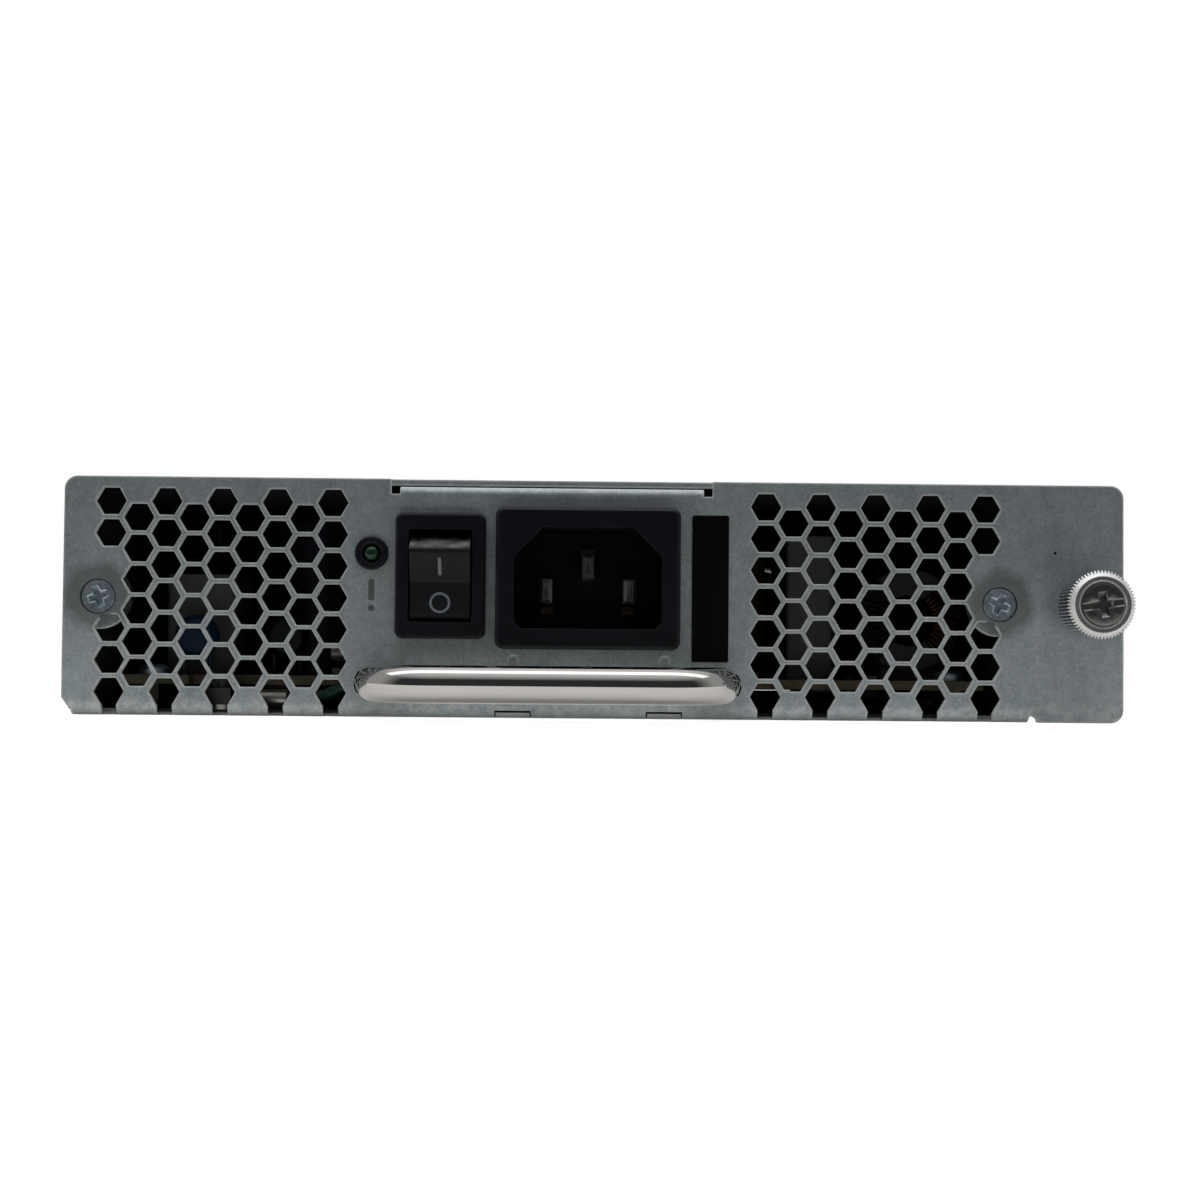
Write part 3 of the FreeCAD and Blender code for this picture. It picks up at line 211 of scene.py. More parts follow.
def buildSurfaceGrain():
    # fine grain, slow clouding of the colour and a matching roughness, for moulded and coated things
    inputs = [("Colour", "Color", (0.5, 0.5, 0.5, 1)), ("Second Colour", "Color", (0.4, 0.4, 0.4, 1)),
              ("Grain Scale", "Float", 2500.0), ("Cloud Scale", "Float", 60.0),
              ("Roughness", "Float", 0.5), ("Roughness Spread", "Float", 0.15)]
    tree, start, end = newTree("surfaceGrain", "ShaderNodeTree", inputs, lookOutputs)
    place = objectPlace(tree)
    fine = noise(tree, place, start["Grain Scale"])
    cloud = noise(tree, place, start["Cloud Scale"], 4.0)
    blend = plus(tree, times(tree, ramp(tree, cloud, 0.3, 0.7), 0.75), times(tree, fine, 0.25), True)
    spread = times(tree, calc(tree, "SUBTRACT", cloud, 0.5), start["Roughness Spread"])
    feed(tree, end, {"Colour": mixed(tree, blend, start["Colour"], start["Second Colour"]),
                     "Roughness": plus(tree, start["Roughness"], spread, True), "Height": fine})
    return tree


def buildSpangle():
    # zinc crystals: faint small cells over slow clouds and drawn streaks, with a few dark pits
    inputs = [("Light", "Color", (0.3, 0.32, 0.32, 1)), ("Dark", "Color", (0.15, 0.18, 0.18, 1)),
              ("Cell Scale", "Float", 1500.0), ("Cloud Scale", "Float", 38.0), ("Roughness", "Float", 0.42)]
    tree, start, end = newTree("zincSpangle", "ShaderNodeTree", inputs, lookOutputs)
    place = objectPlace(tree)
    warp = noise(tree, place, 900.0, 2.0)
    shifted = vectorMath(tree, "MULTIPLY_ADD", warp, (0.0012, 0.0012, 0.0012), place)[0]
    tone = voronoi(tree, shifted, start["Cell Scale"])[1]
    clouds = noise(tree, place, start["Cloud Scale"], 5.0, 0.6)
    specks = noise(tree, place, 2600.0, 2.0, 0.7)
    patches = noise(tree, place, 240.0, 4.0, 0.7)
    streaks = noise(tree, mapped(tree, place, Scale=(1.0, 1.0, 0.1)), 420.0, 3.0, 0.6)
    blend = plus(tree, times(tree, tone[0], 0.2), 0.12)
    for part, low, high, share in ((clouds, 0.25, 0.75, 0.12), (patches, 0.3, 0.7, 0.2),
                                   (streaks, 0.3, 0.7, 0.15), (specks, 0.35, 0.65, 0.3)):
        blend = plus(tree, blend, times(tree, ramp(tree, part, low, high), share), True)
    pits = times(tree, loneDots(tree, place, 330.0, 0.87, 0.06), 0.75)
    zinc = mixed(tree, blend, start["Light"], start["Dark"])
    rough = plus(tree, start["Roughness"], times(tree, tone[1], 0.1))
    feed(tree, end, {"Colour": mixed(tree, pits, zinc, (0.03, 0.032, 0.034, 1)),
                     "Roughness": plus(tree, rough, times(tree, clouds, 0.08), True),
                     "Height": plus(tree, tone[0], specks)})
    return tree


def buildEdgeWear():
    # a rounded normal for corners, and a mask where it leaves the true one: wear on coated parts, a painted
    # highlight on the edges of the zinc sheet
    inputs = [("Radius", "Float", 0.0002), ("Amount", "Float", 1.0), ("Break Up", "Float", 0.5)]
    outputs = [("Mask", "Float"), ("Normal", "Vector")]
    tree, start, end = newTree("edgeWearAndHighlight", "ShaderNodeTree", inputs, outputs)
    rounded = addNode(tree, "ShaderNodeBevel", {"Radius": start["Radius"]}, samples=4).outputs["Normal"]
    flat = addNode(tree, "ShaderNodeNewGeometry").outputs["Normal"]
    turn = calc(tree, "SUBTRACT", 1.0, vectorMath(tree, "DOT_PRODUCT", rounded, flat)["Value"])
    patches = ramp(tree, noise(tree, objectPlace(tree), 700.0, 3.0, 0.7), 0.3, 0.6)
    kept = calc(tree, "SUBTRACT", 1.0, times(tree, patches, start["Break Up"]))
    mask = times(tree, ramp(tree, turn, 0.002, 0.02), kept)
    feed(tree, end, {"Mask": calc(tree, "MULTIPLY", mask, start["Amount"], True), "Normal": rounded})
    return tree


def buildDust():
    # a mask of settled dust: more on faces that look up, and a few loose specks anywhere
    inputs = [("Settled", "Float", 0.3), ("Specks", "Float", 0.5)]
    tree, start, end = newTree("dust", "ShaderNodeTree", inputs, [("Mask", "Float")])
    place = objectPlace(tree)
    film = ramp(tree, noise(tree, place, 350.0, 5.0, 0.7), 0.35, 0.75)
    upward = ramp(tree, facingOf(tree, "Normal")["Z"], 0.3, 1.0)
    settled = times(tree, times(tree, upward, film), start["Settled"])
    specks = times(tree, loneDots(tree, place, 420.0, 0.955, 0.07), start["Specks"])
    feed(tree, end, {"Mask": plus(tree, settled, specks, True)})
    return tree


surfaceGrain = buildSurfaceGrain()
zincSpangle = buildSpangle()
edgeWearAndHighlight = buildEdgeWear()
dust = buildDust()


def useGroup(tree, group, inputs):
    return addNode(tree, "ShaderNodeGroup", inputs, node_tree=group).outputs


def blankMaterial(name, metallic=0.0, coat=0.0, specular=0.5):
    material = bpy.data.materials.new(name)
    material.use_nodes = True
    shader = material.node_tree.nodes["Principled BSDF"].inputs
    for label, value in (("Metallic", metallic), ("Coat Weight", coat), ("Coat Roughness", 0.15),
                         ("Specular IOR Level", specular)):
        shader[label].default_value = value
    return material, material.node_tree, shader


def rgba(colour):
    return (*colour[:3], 1.0)


def addBump(tree, height, shader, strength, distance, corners=None):
    # bump from a height, laid over rounded corners where they are given
    inputs = {"Strength": strength, "Distance": distance, "Height": height}
    if corners is not None:
        inputs["Normal"] = corners
    feed(tree, shader, {"Normal": addNode(tree, "ShaderNodeBump", inputs).outputs["Normal"]})


def faded(tree, colour, look):
    # painted shade: a darker share on one side of a place across the case, where pieces of the same finish
    # sit in the case's shadow
    if "fade" not in look:
        return colour
    start, full, share = look["fade"]
    mask = ramp(tree, splitUp(tree, objectPlace(tree))["X"], start * mm, full * mm)
    return mixed(tree, times(tree, mask, share), colour, (0.004, 0.004, 0.005, 1))


def grainMaterial(name, look):
    # moulded, dipped and coated surfaces
    material, tree, shader = blankMaterial(name, look.get("metallic", 0.0), look.get("coat", 0.0),
                                           look.get("specular", 0.5))
    grain = useGroup(tree, surfaceGrain,
                     {"Colour": rgba(look["colour"]), "Second Colour": rgba(look["second"]),
                      "Grain Scale": look.get("grain", 2500.0), "Cloud Scale": look.get("cloud", 70.0),
                      "Roughness": look["roughness"]})
    colour = grain["Colour"]
    wornAndLitEdge = useGroup(tree, edgeWearAndHighlight, {"Radius": 0.0002, "Amount": look.get("wear", 0.0)})
    if look.get("wear"):
        colour = mixed(tree, wornAndLitEdge["Mask"], colour, rgba(look["wearColour"]))
    if look.get("dust"):
        film = useGroup(tree, dust, {"Settled": look["dust"], "Specks": look.get("specks", 0.3)})
        colour = mixed(tree, film["Mask"], colour, (0.42, 0.41, 0.39, 1))
    if look.get("sawn"):
        level = calc(tree, "ABSOLUTE", facingOf(tree, "True Normal")["Z"])
        colour = mixed(tree, ramp(tree, level, 0.3, 0.7), rgba(look["sawn"]), colour)
    feed(tree, shader, {"Base Color": faded(tree, colour, look), "Roughness": grain["Roughness"]})
    addBump(tree, grain["Height"], shader, look.get("depth", 0.2), 0.00005, wornAndLitEdge["Normal"])
    return material


# the zinc sheet's colours, with a painted highlight for its edges, a painted shade for its inside faces, a
# painted shadow round the screw heads and a painted floor reflection on its bottom bend
galvanisedLook = {"light": (0.7, 0.78, 0.81), "dark": (0.28, 0.325, 0.345), "edge": (0.97, 1.0, 1.0),
                  "darkPatch": (0.15, 0.17, 0.175), "darkPatchRadius": 5.2, "darkPatchDepth": 0.7, "metallic": 0.6,
                  "roughness": 0.44, "inside": (0.03, 0.033, 0.035), "bendReflection": (0.9, 0.93, 0.9),
                  "tabWidth": 3.75, "tabDrop": 4.1, "tabTop": 31.0, "headGapShadow": 0.12}


def insideMask(tree, place):
    # painted shade: one inside the closed case, nothing on its outer faces, its front and the tabs behind the
    # front screws
    look = galvanisedLook
    high = boxOf("top_cover")[1]
    parts = splitUp(tree, place)
    behind = ramp(tree, parts["Y"], panelFront + 1.004 * mm, panelFront + 1.012 * mm)
    behind = times(tree, behind, ramp(tree, parts["Z"], look["tabTop"] * mm, (look["tabTop"] - 1) * mm))
    for screwLow, screwHigh in islandsOf("front_screws"):
        away = calc(tree, "ABSOLUTE", calc(tree, "SUBTRACT", parts["X"], (screwLow.x + screwHigh.x) / 2))
        level = screwHigh.z - look["tabDrop"] * mm
        dark = calc(tree, "MAXIMUM", ramp(tree, away, look["tabWidth"] * mm, (look["tabWidth"] + 0.15) * mm),
                    ramp(tree, parts["Z"], level - 0.3 * mm, level))
        behind = times(tree, behind, dark)
    mask = calc(tree, "MAXIMUM", behind, ramp(tree, parts["Y"], panelFront + 2 * mm, panelFront + 4.5 * mm))
    side = calc(tree, "ABSOLUTE", parts["X"])
    for value, start, full in ((side, high.x - 0.4 * mm, high.x - 0.6 * mm),
                               (parts["Y"], high.y - 1.5 * mm, high.y - 4 * mm),
                               (parts["Z"], 0.4 * mm, 0.6 * mm),
                               (parts["Z"], high.z - 0.4 * mm, high.z - 0.6 * mm)):
        mask = times(tree, mask, ramp(tree, value, start, full))
    return mask


def cutMask(tree, place):
    # one on the punched walls of the front sheet and on its bends, where a painted highlight is drawn
    walls = ramp(tree, calc(tree, "ABSOLUTE", facingOf(tree, "True Normal")["Y"]), 0.75, 0.35)
    depth = splitUp(tree, place)["Y"]
    return times(tree, walls, ramp(tree, depth, panelFront + 1.6 * mm, panelFront + 1.2 * mm))


def galvanisedMaterial():
    look = galvanisedLook
    material, tree, shader = blankMaterial("galvanisedSteel", look["metallic"])
    spangle = useGroup(tree, zincSpangle, {"Light": rgba(look["light"]), "Dark": rgba(look["dark"]),
                                           "Roughness": look["roughness"]})
    colour = spangle["Colour"]
    place = objectPlace(tree)
    patches = noise(tree, place, 260.0, 4.0, 0.65)
    plain = 1.0
    for low, high in islandsOf("front_screws"):
        # a darker patch round each screw, no painted highlight at its hole and a painted shadow in the gap
        # round its head
        middle = ((low.x + high.x) / 2, low.y, (low.z + high.z) / 2)
        away = vectorMath(tree, "DISTANCE", place, middle)["Value"]
        reach = plus(tree, away, times(tree, patches, 3.4 * mm))
        ring = ramp(tree, reach, (look["darkPatchRadius"] + 3.0) * mm, (look["darkPatchRadius"] + 1.0) * mm)
        colour = mixed(tree, times(tree, ring, look["darkPatchDepth"]), colour, rgba(look["darkPatch"]))
        plain = times(tree, plain, ramp(tree, away, 3.5 * mm, 3.8 * mm))
        headGapShadow = (high.x - low.x) / 2 + look["headGapShadow"] * mm
        colour = mixed(tree, ramp(tree, away, headGapShadow + 0.1 * mm, headGapShadow), colour, rgba(look["inside"]))
    # painted highlight: near-white on the sheet's rounded edges, punched walls and bends, kept off the screw
    # holes
    wornAndLitEdge = useGroup(tree, edgeWearAndHighlight, {"Radius": 0.00045, "Amount": 1.0, "Break Up": 0.12})
    paintedHighlight = times(tree, calc(tree, "MAXIMUM", wornAndLitEdge["Mask"], cutMask(tree, place)), plain)
    paintedHighlight = times(tree, paintedHighlight, ramp(tree, patches, 0.1, 0.4))
    # painted reflection: a lighter mottled band on the bottom bend, standing in for the pale floor it mirrors
    bendReflectionMask = ramp(tree, noise(tree, place, 520.0, 4.0, 0.65), 0.4, 0.7)
    bendReflectionMask = times(tree, bendReflectionMask, ramp(tree, splitUp(tree, place)["Z"], 3.6 * mm, 2.0 * mm))
    # painted shade: the faces inside the closed case are drawn dark, rougher and less metallic
    inside = insideMask(tree, place)
    for mask, tone in ((times(tree, bendReflectionMask, 0.5), "bendReflection"), (paintedHighlight, "edge"), (inside, "inside")):
        colour = mixed(tree, mask, colour, rgba(look[tone]))
    # less metallic where the highlight and the shade are painted
    paintedLightNotMetal = times(tree, calc(tree, "MAXIMUM", times(tree, paintedHighlight, 0.85), inside), look["metallic"])
    feed(tree, shader, {"Base Color": colour, "Metallic": calc(tree, "SUBTRACT", look["metallic"], paintedLightNotMetal),
                        "Roughness": plus(tree, spangle["Roughness"], times(tree, inside, 0.4), True)})
    addBump(tree, spangle["Height"], shader, 0.12, 0.00004, wornAndLitEdge["Normal"])
    return material


def metalMaterial(name, look):
    # turned, plated and polished metal with fine scratches
    material, tree, shader = blankMaterial(name, 1.0)
    place = objectPlace(tree)
    scratches = noise(tree, place, look.get("scratchScale", 3000.0), 4.0, 0.7)
    clouds = ramp(tree, noise(tree, place, look.get("cloud", 300.0)), 0.3, 0.75)
    colour = mixed(tree, clouds, rgba(look["colour"]), rgba(look["second"]))
    spread = times(tree, scratches, look.get("spread", 0.12))
    feed(tree, shader, {"Base Color": faded(tree, colour, look),
                        "Roughness": plus(tree, spread, look["roughness"], True)})
    addBump(tree, scratches, shader, look.get("depth", 0.08), 0.00003)
    return material


def stripedMaterial(name, look):
    # insulation or tape with bands of a second colour
    material, tree, shader = blankMaterial(name)
    turned = mapped(tree, objectPlace(tree), Rotation=look["turn"])
    bands = addNode(tree, "ShaderNodeTexWave", {"Vector": turned, "Scale": look["bands"], "Distortion": 0.0})
    mask = ramp(tree, bands.outputs["Fac"], look["share"] - 0.04, look["share"] + 0.04)
    colour = mixed(tree, mask, rgba(look["colour"]), rgba(look["second"]))
    film = useGroup(tree, dust, {"Settled": 0.25, "Specks": 0.2})
    grain = useGroup(tree, surfaceGrain, {"Roughness": look["roughness"]})
    feed(tree, shader, {"Base Color": mixed(tree, film["Mask"], colour, (0.4, 0.4, 0.38, 1)),
                        "Roughness": grain["Roughness"]})
    addBump(tree, grain["Height"], shader, 0.1, 0.00005)
    return material


def glassMaterial(name, look):
    # clear or tinted, with a fine swirl in its tint
    material, tree, shader = blankMaterial(name)
    shader["Transmission Weight"].default_value = look["clear"]
    shader["IOR"].default_value = 1.52
    swirl = noise(tree, objectPlace(tree), 900.0)
    feed(tree, shader, {"Base Color": mixed(tree, swirl, rgba(look["colour"]), rgba(look["second"])),
                        "Roughness": plus(tree, times(tree, swirl, 0.05), look["roughness"], True)})
    return material


grainLooks = {
    "black_plastic": {"colour": (0.007, 0.0063, 0.0115), "second": (0.0098, 0.0088, 0.015), "roughness": 0.42,
                      "specular": 0.26, "grain": 3800.0, "depth": 0.3, "wear": 0.3,
                      "wearColour": (0.04, 0.04, 0.045), "dust": 0.02, "specks": 0.4},
    # its heavy settled dust on up-facing faces is partly real dust and partly a painted highlight for the
    # light from above on the rocker's top band
    "rocker_plastic": {"colour": (0.0085, 0.008, 0.013), "second": (0.0105, 0.01, 0.0155),
                       "roughness": 0.5, "specular": 0.32, "grain": 3000.0, "depth": 0.12, "wear": 0.25,
                       "wearColour": (0.03, 0.03, 0.034), "dust": 1.0, "specks": 0.35},
    "black_label": {"colour": (0.003, 0.003, 0.0034), "second": (0.004, 0.004, 0.0045), "roughness": 0.4,
                    "specular": 0.12, "grain": 5000.0, "cloud": 220.0, "depth": 0.1, "dust": 0.02,
                    "specks": 0.3},
    "insulator_film": {"colour": (0.012, 0.012, 0.013), "second": (0.018, 0.018, 0.02), "roughness": 0.42,
                       "dust": 0.1},
    "grey_case": {"colour": (0.15, 0.15, 0.15), "second": (0.18, 0.18, 0.18), "roughness": 0.45, "depth": 0.3,
                  "wear": 0.3, "wearColour": (0.3, 0.3, 0.3), "dust": 0.2},
    "blue_coating": {"colour": (0.005, 0.034, 0.075), "second": (0.007, 0.042, 0.09), "roughness": 0.25,
                     "coat": 0.3, "dust": 0.2, "fade": (-54.0, -52.0, 0.85)},
    "dark_coating": {"colour": (0.03, 0.045, 0.03), "second": (0.045, 0.06, 0.04), "roughness": 0.4,
                     "dust": 0.3},
    "ferrite": {"colour": (0.03, 0.03, 0.032), "second": (0.045, 0.044, 0.047), "roughness": 0.62,
                "grain": 4200.0, "depth": 0.4, "wear": 0.4, "wearColour": (0.1, 0.1, 0.1), "dust": 0.2},
    "capacitor_sleeve": {"colour": (0.012, 0.02, 0.05), "second": (0.018, 0.028, 0.065), "roughness": 0.3,
                         "coat": 0.25, "dust": 0.35},
    "package_epoxy": {"colour": (0.022, 0.022, 0.023), "second": (0.032, 0.031, 0.031), "roughness": 0.55,
                      "grain": 5200.0, "depth": 0.35, "dust": 0.3},
    "wire_insulation": {"colour": (0.02, 0.02, 0.024), "second": (0.03, 0.03, 0.034), "roughness": 0.4,
                        "dust": 0.2},
    "sink_aluminium": {"colour": (0.035, 0.035, 0.038), "second": (0.055, 0.055, 0.058), "roughness": 0.48,
                       "metallic": 0.6, "depth": 0.3, "wear": 0.7, "wearColour": (0.2, 0.2, 0.21),
                       "dust": 0.35},
    "circuit_board": {"colour": (0.012, 0.034, 0.012), "second": (0.017, 0.045, 0.015), "roughness": 0.34,
                      "grain": 1800.0, "cloud": 260.0, "depth": 0.2, "coat": 0.3, "dust": 0.15,
                      "sawn": (0.105, 0.088, 0.045)},
}

metalLooks = {
    "zinc_screws": {"colour": (0.62, 0.74, 0.82), "second": (0.3, 0.37, 0.43), "roughness": 0.26,
                    "cloud": 900.0, "scratchScale": 4200.0, "spread": 0.25, "depth": 0.25},
    "chromed_rod": {"colour": (0.64, 0.62, 0.6), "second": (0.58, 0.57, 0.56), "roughness": 0.03,
                    "spread": 0.05, "depth": 0.02, "cloud": 120.0, "scratchScale": 5200.0},
    "tinned_contacts": {"colour": (0.6, 0.585, 0.56), "second": (0.42, 0.405, 0.385), "roughness": 0.25,
                        "cloud": 700.0},
    "knurled_aluminium": {"colour": (0.9, 0.9, 0.9), "second": (0.76, 0.76, 0.77), "roughness": 0.24,
                          "cloud": 1200.0, "scratchScale": 5000.0},
    "dark_steel": {"colour": (0.3, 0.29, 0.285), "second": (0.2, 0.195, 0.19), "roughness": 0.28,
                   "cloud": 1500.0, "scratchScale": 5200.0, "depth": 0.2},
    "standoff_brass": {"colour": (0.16, 0.14, 0.11), "second": (0.1, 0.09, 0.075), "roughness": 0.35},
    "copper_wire": {"colour": (0.07, 0.027, 0.015), "second": (0.035, 0.014, 0.008), "roughness": 0.25,
                    "cloud": 500.0, "fade": (62.0, 58.0, 0.8)},
    "dull_stud": {"colour": (0.075, 0.075, 0.08), "second": (0.05, 0.05, 0.055), "roughness": 0.4},
}

stripeLooks = {
    "earth_insulation": {"colour": (0.004, 0.075, 0.06), "second": (0.035, 0.09, 0.03), "bands": 150.0,
                         "share": 0.93, "turn": (0.0, 0.5, 0.3), "roughness": 0.4},
    "winding_tape": {"colour": (0.17, 0.14, 0.03), "second": (0.12, 0.1, 0.02), "bands": 55.0,
                     "share": 0.86, "turn": (0.0, 0.0, 1.57), "roughness": 0.34},
}

glassLooks = {
    "green_lens": {"colour": (0.004, 0.055, 0.018), "second": (0.003, 0.04, 0.014), "clear": 0.2,
                   "roughness": 0.12},
    "fuse_glass": {"colour": (0.9, 0.94, 0.93), "second": (0.84, 0.9, 0.89), "clear": 0.9, "roughness": 0.03},
}

finish = {"galvanised_steel": galvanisedMaterial()}
for buildFinish, looks in ((grainMaterial, grainLooks), (metalMaterial, metalLooks),
                           (stripedMaterial, stripeLooks), (glassMaterial, glassLooks)):
    for slotName, look in looks.items():
        finish[slotName] = buildFinish(slotName, look)

slotOf = {part["node"]: part["material_slot"] for part in frame["record"]["subparts"]}
for nodeName, nodeObject in frame["nodes"].items():
    nodeObject.data.materials.clear()
    nodeObject.data.materials.append(finish["dull_stud" if nodeName == "earth_stud" else slotOf[nodeName]])
print("finishes ready:", len(finish))


def linked(name, data):
    item = bpy.data.objects.new(name, data)
    bpy.context.scene.collection.objects.link(item)
    return item


def newPiece(name, mesh, slotName, replaced=None, body="case"):
    if not mesh.materials:
        mesh.materials.append(finish[slotName])
    piece = linked(name, mesh)
    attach(piece, body)
    if replaced:
        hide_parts(replaced)
    return piece


def meshesTogether(*meshes):
    bm = bmesh.new()
    for mesh in meshes:
        bm.from_mesh(mesh)
    return bm


def plainMesh(bm, name):
    mesh = bpy.data.meshes.new(name)
    bm.to_mesh(mesh)
    bm.free()
    return mesh


def closedMesh(bm, name, sharpAngle=30.0):
    # merges seams, turns every face outwards and keeps only real corners sharp
    bmesh.ops.remove_doubles(bm, verts=bm.verts, dist=1e-7)
    bmesh.ops.recalc_face_normals(bm, faces=bm.faces)
    for face in bm.faces:
        face.smooth = True
    for edge in bm.edges:
        edge.smooth = edge.is_manifold and edge.calc_face_angle(0) < math.radians(sharpAngle)
    return plainMesh(bm, name)


def evaluatedMesh(item):
    depsgraph = bpy.context.evaluated_depsgraph_get()
    return bpy.data.meshes.new_from_object(item.evaluated_get(depsgraph))


def sideways(axis):
    helper = vec(0, 0, 1) if abs(axis.z) < 0.9 else vec(1, 0, 0)
    first = helper.cross(axis).normalized()
    return first, axis.cross(first)


def circleAt(bm, centre, ways, radius, steps):
    # corners round a centre; the radius may follow the share of the turn
    ring = []
    for i in range(steps):
        angle = 2 * math.pi * i / steps
        reach = radius(i / steps) if callable(radius) else radius
        ring.append(bm.verts.new(centre + (ways[0] * math.cos(angle) + ways[1] * math.sin(angle)) * reach))
    return ring


def bridged(bm, rings, capped=True):
    # faces from ring to ring; a ring may be one corner
    for near, far in zip(rings, rings[1:]):
        count = max(len(near), len(far))
        for i in range(count):
            j = (i + 1) % count
            corners = [near[i % len(near)], near[j % len(near)], far[j % len(far)], far[i % len(far)]]
            corners = [c for n, c in enumerate(corners) if c not in corners[:n]]
            if len(corners) > 2:
                bm.faces.new(corners)
    if capped:
        bm.faces.new(rings[0][::-1])
        bm.faces.new(rings[-1])


def addLathe(bm, profile, origin, axis=intoCase, steps=48):
    # profile is (distance along the axis, radius) in mm; a radius of 0 closes it on the axis
    ways = sideways(axis)
    rings = []
    for along, radius in profile:
        centre = origin + axis * along * mm
        rings.append(circleAt(bm, centre, ways, radius * mm, steps) if radius > 0 else [bm.verts.new(centre)])
    bridged(bm, rings, False)


def turnedMesh(name, profile, origin, axis=intoCase, steps=48, sharpAngle=30.0):
    bm = bmesh.new()
    addLathe(bm, profile, origin, axis, steps)
    return closedMesh(bm, name, sharpAngle)


def addTube(bm, path, radius, steps):
    # a round tube along a list of points
    rings = []
    for i, point in enumerate(path):
        direction = (path[min(i + 1, len(path) - 1)] - path[max(i - 1, 0)]).normalized()
        if i == 0:
            side, up = sideways(direction)
        else:
            side = (side - direction * side.dot(direction)).normalized()
            up = direction.cross(side)
        rings.append(circleAt(bm, point, (side, up), radius, steps))
    bridged(bm, rings)


def addSlab(bm, outline, origin, thick, edge=0.0, ways=acrossUpOut):
    # a flat shape with a small bevel round its front, from (across, up) points
    across, up, out = ways
    centre = Vector([sum(p[k] for p in outline) / len(outline) for k in (0, 1)])
    rings = []
    for level, inset in ((0.0, 0.0), (thick - edge, 0.0), (thick, edge)):
        ring = []
        for point in outline:
            away = Vector(point) - centre
            shrunk = away * (1 - inset / max(away.length, 1e-9)) + centre
            ring.append(bm.verts.new(origin + across * shrunk.x + up * shrunk.y + out * level))
        rings.append(ring)
    bridged(bm, rings)


def roundedOutline(width, height, corner, steps=6):
    # a rectangle with round corners, sizes in mm
    points = []
    for turn, (sx, sz) in enumerate(((1, 1), (-1, 1), (-1, -1), (1, -1))):
        for i in range(steps + 1):
            angle = quarter * (turn + i / steps)
            points.append(((sx * (width / 2 - corner) + corner * math.cos(angle)) * mm,
                           (sz * (height / 2 - corner) + corner * math.sin(angle)) * mm))
    return points


def arcPoints(centre, start, end, steps):
    # points on a quarter bend from one arm to another round a centre
    angles = [quarter * i / steps for i in range(steps + 1)]
    return [centre + start * math.cos(angle) + end * math.sin(angle) for angle in angles]


def growTree(name, inputs):
    # a geometry tree that takes a material to end with
    inputs = [("Geometry", "Geometry", None), ("Material", "Material", None)] + inputs
    return newTree(name, "GeometryNodeTree", inputs, [("Geometry", "Geometry")])


def endTree(tree, start, end, geometry):
    realized = addNode(tree, "GeometryNodeRealizeInstances", {"Geometry": geometry}).outputs["Geometry"]
    inputs = {"Geometry": realized, "Material": start["Material"]}
    feed(tree, end, {"Geometry": addNode(tree, "GeometryNodeSetMaterial", inputs).outputs["Geometry"]})


def grown(name, tree, hostMesh, values):
    # runs a tree on a host mesh and returns the result as a plain mesh
    host = linked(name + "Host", hostMesh)
    modifier = host.modifiers.new("grow", "NODES")
    modifier.node_group = tree
    for item in tree.interface.items_tree:
        if item.in_out == "INPUT" and item.name in values:
            modifier[item.identifier] = values[item.name]
    mesh = evaluatedMesh(host)
    mesh.name = name
    host.modifiers.clear()
    bpy.data.objects.remove(host)
    return mesh


def shapeOf(tree, start):
    return addNode(tree, "GeometryNodeObjectInfo", {"Object": start["Prototype"]}).outputs["Geometry"]


def buildFastenerTree():
    # one copy of a prototype on every point, facing its way and turned by its spin
    tree, start, end = growTree("placeFasteners", [("Prototype", "Object", None)])
    way, spin = (addNode(tree, "GeometryNodeInputNamedAttribute", {"Name": label}, data_type=kind).outputs[0]
                 for label, kind in (("facing", "FLOAT_VECTOR"), ("spin", "FLOAT")))
    facing = addNode(tree, "FunctionNodeAlignRotationToVector", {"Vector": way}, axis="Z").outputs[0]
    turn = addNode(tree, "ShaderNodeCombineXYZ", {"Z": spin}).outputs[0]
    inputs = {"Rotation": facing,
              "Rotate By": addNode(tree, "FunctionNodeEulerToRotation", {0: turn}).outputs[0]}
    turned = addNode(tree, "FunctionNodeRotateRotation", inputs, rotation_space="LOCAL").outputs[0]
    inputs = {"Points": start["Geometry"], "Instance": shapeOf(tree, start), "Rotation": turned}
    endTree(tree, start, end, addNode(tree, "GeometryNodeInstanceOnPoints", inputs).outputs["Instances"])
    return tree


fastenerTree = buildFastenerTree()


def placedCopies(name, prototypeMesh, places, slotName):
    # copies of a prototype on places, which are (spot, way it faces, spin)
    points = bpy.data.meshes.new(name + "Points")
    points.from_pydata([tuple(place[0]) for place in places], [], [])
    facing = points.attributes.new("facing", "FLOAT_VECTOR", "POINT")
    facing.data.foreach_set("vector", [c for place in places for c in place[1]])
    spin = points.attributes.new("spin", "FLOAT", "POINT")
    spin.data.foreach_set("value", [place[2] for place in places])
    prototype = linked(name + "Prototype", prototypeMesh)
    mesh = grown(name, fastenerTree, points, {"Prototype": prototype, "Material": finish[slotName]})
    bpy.data.objects.remove(prototype)
    return mesh


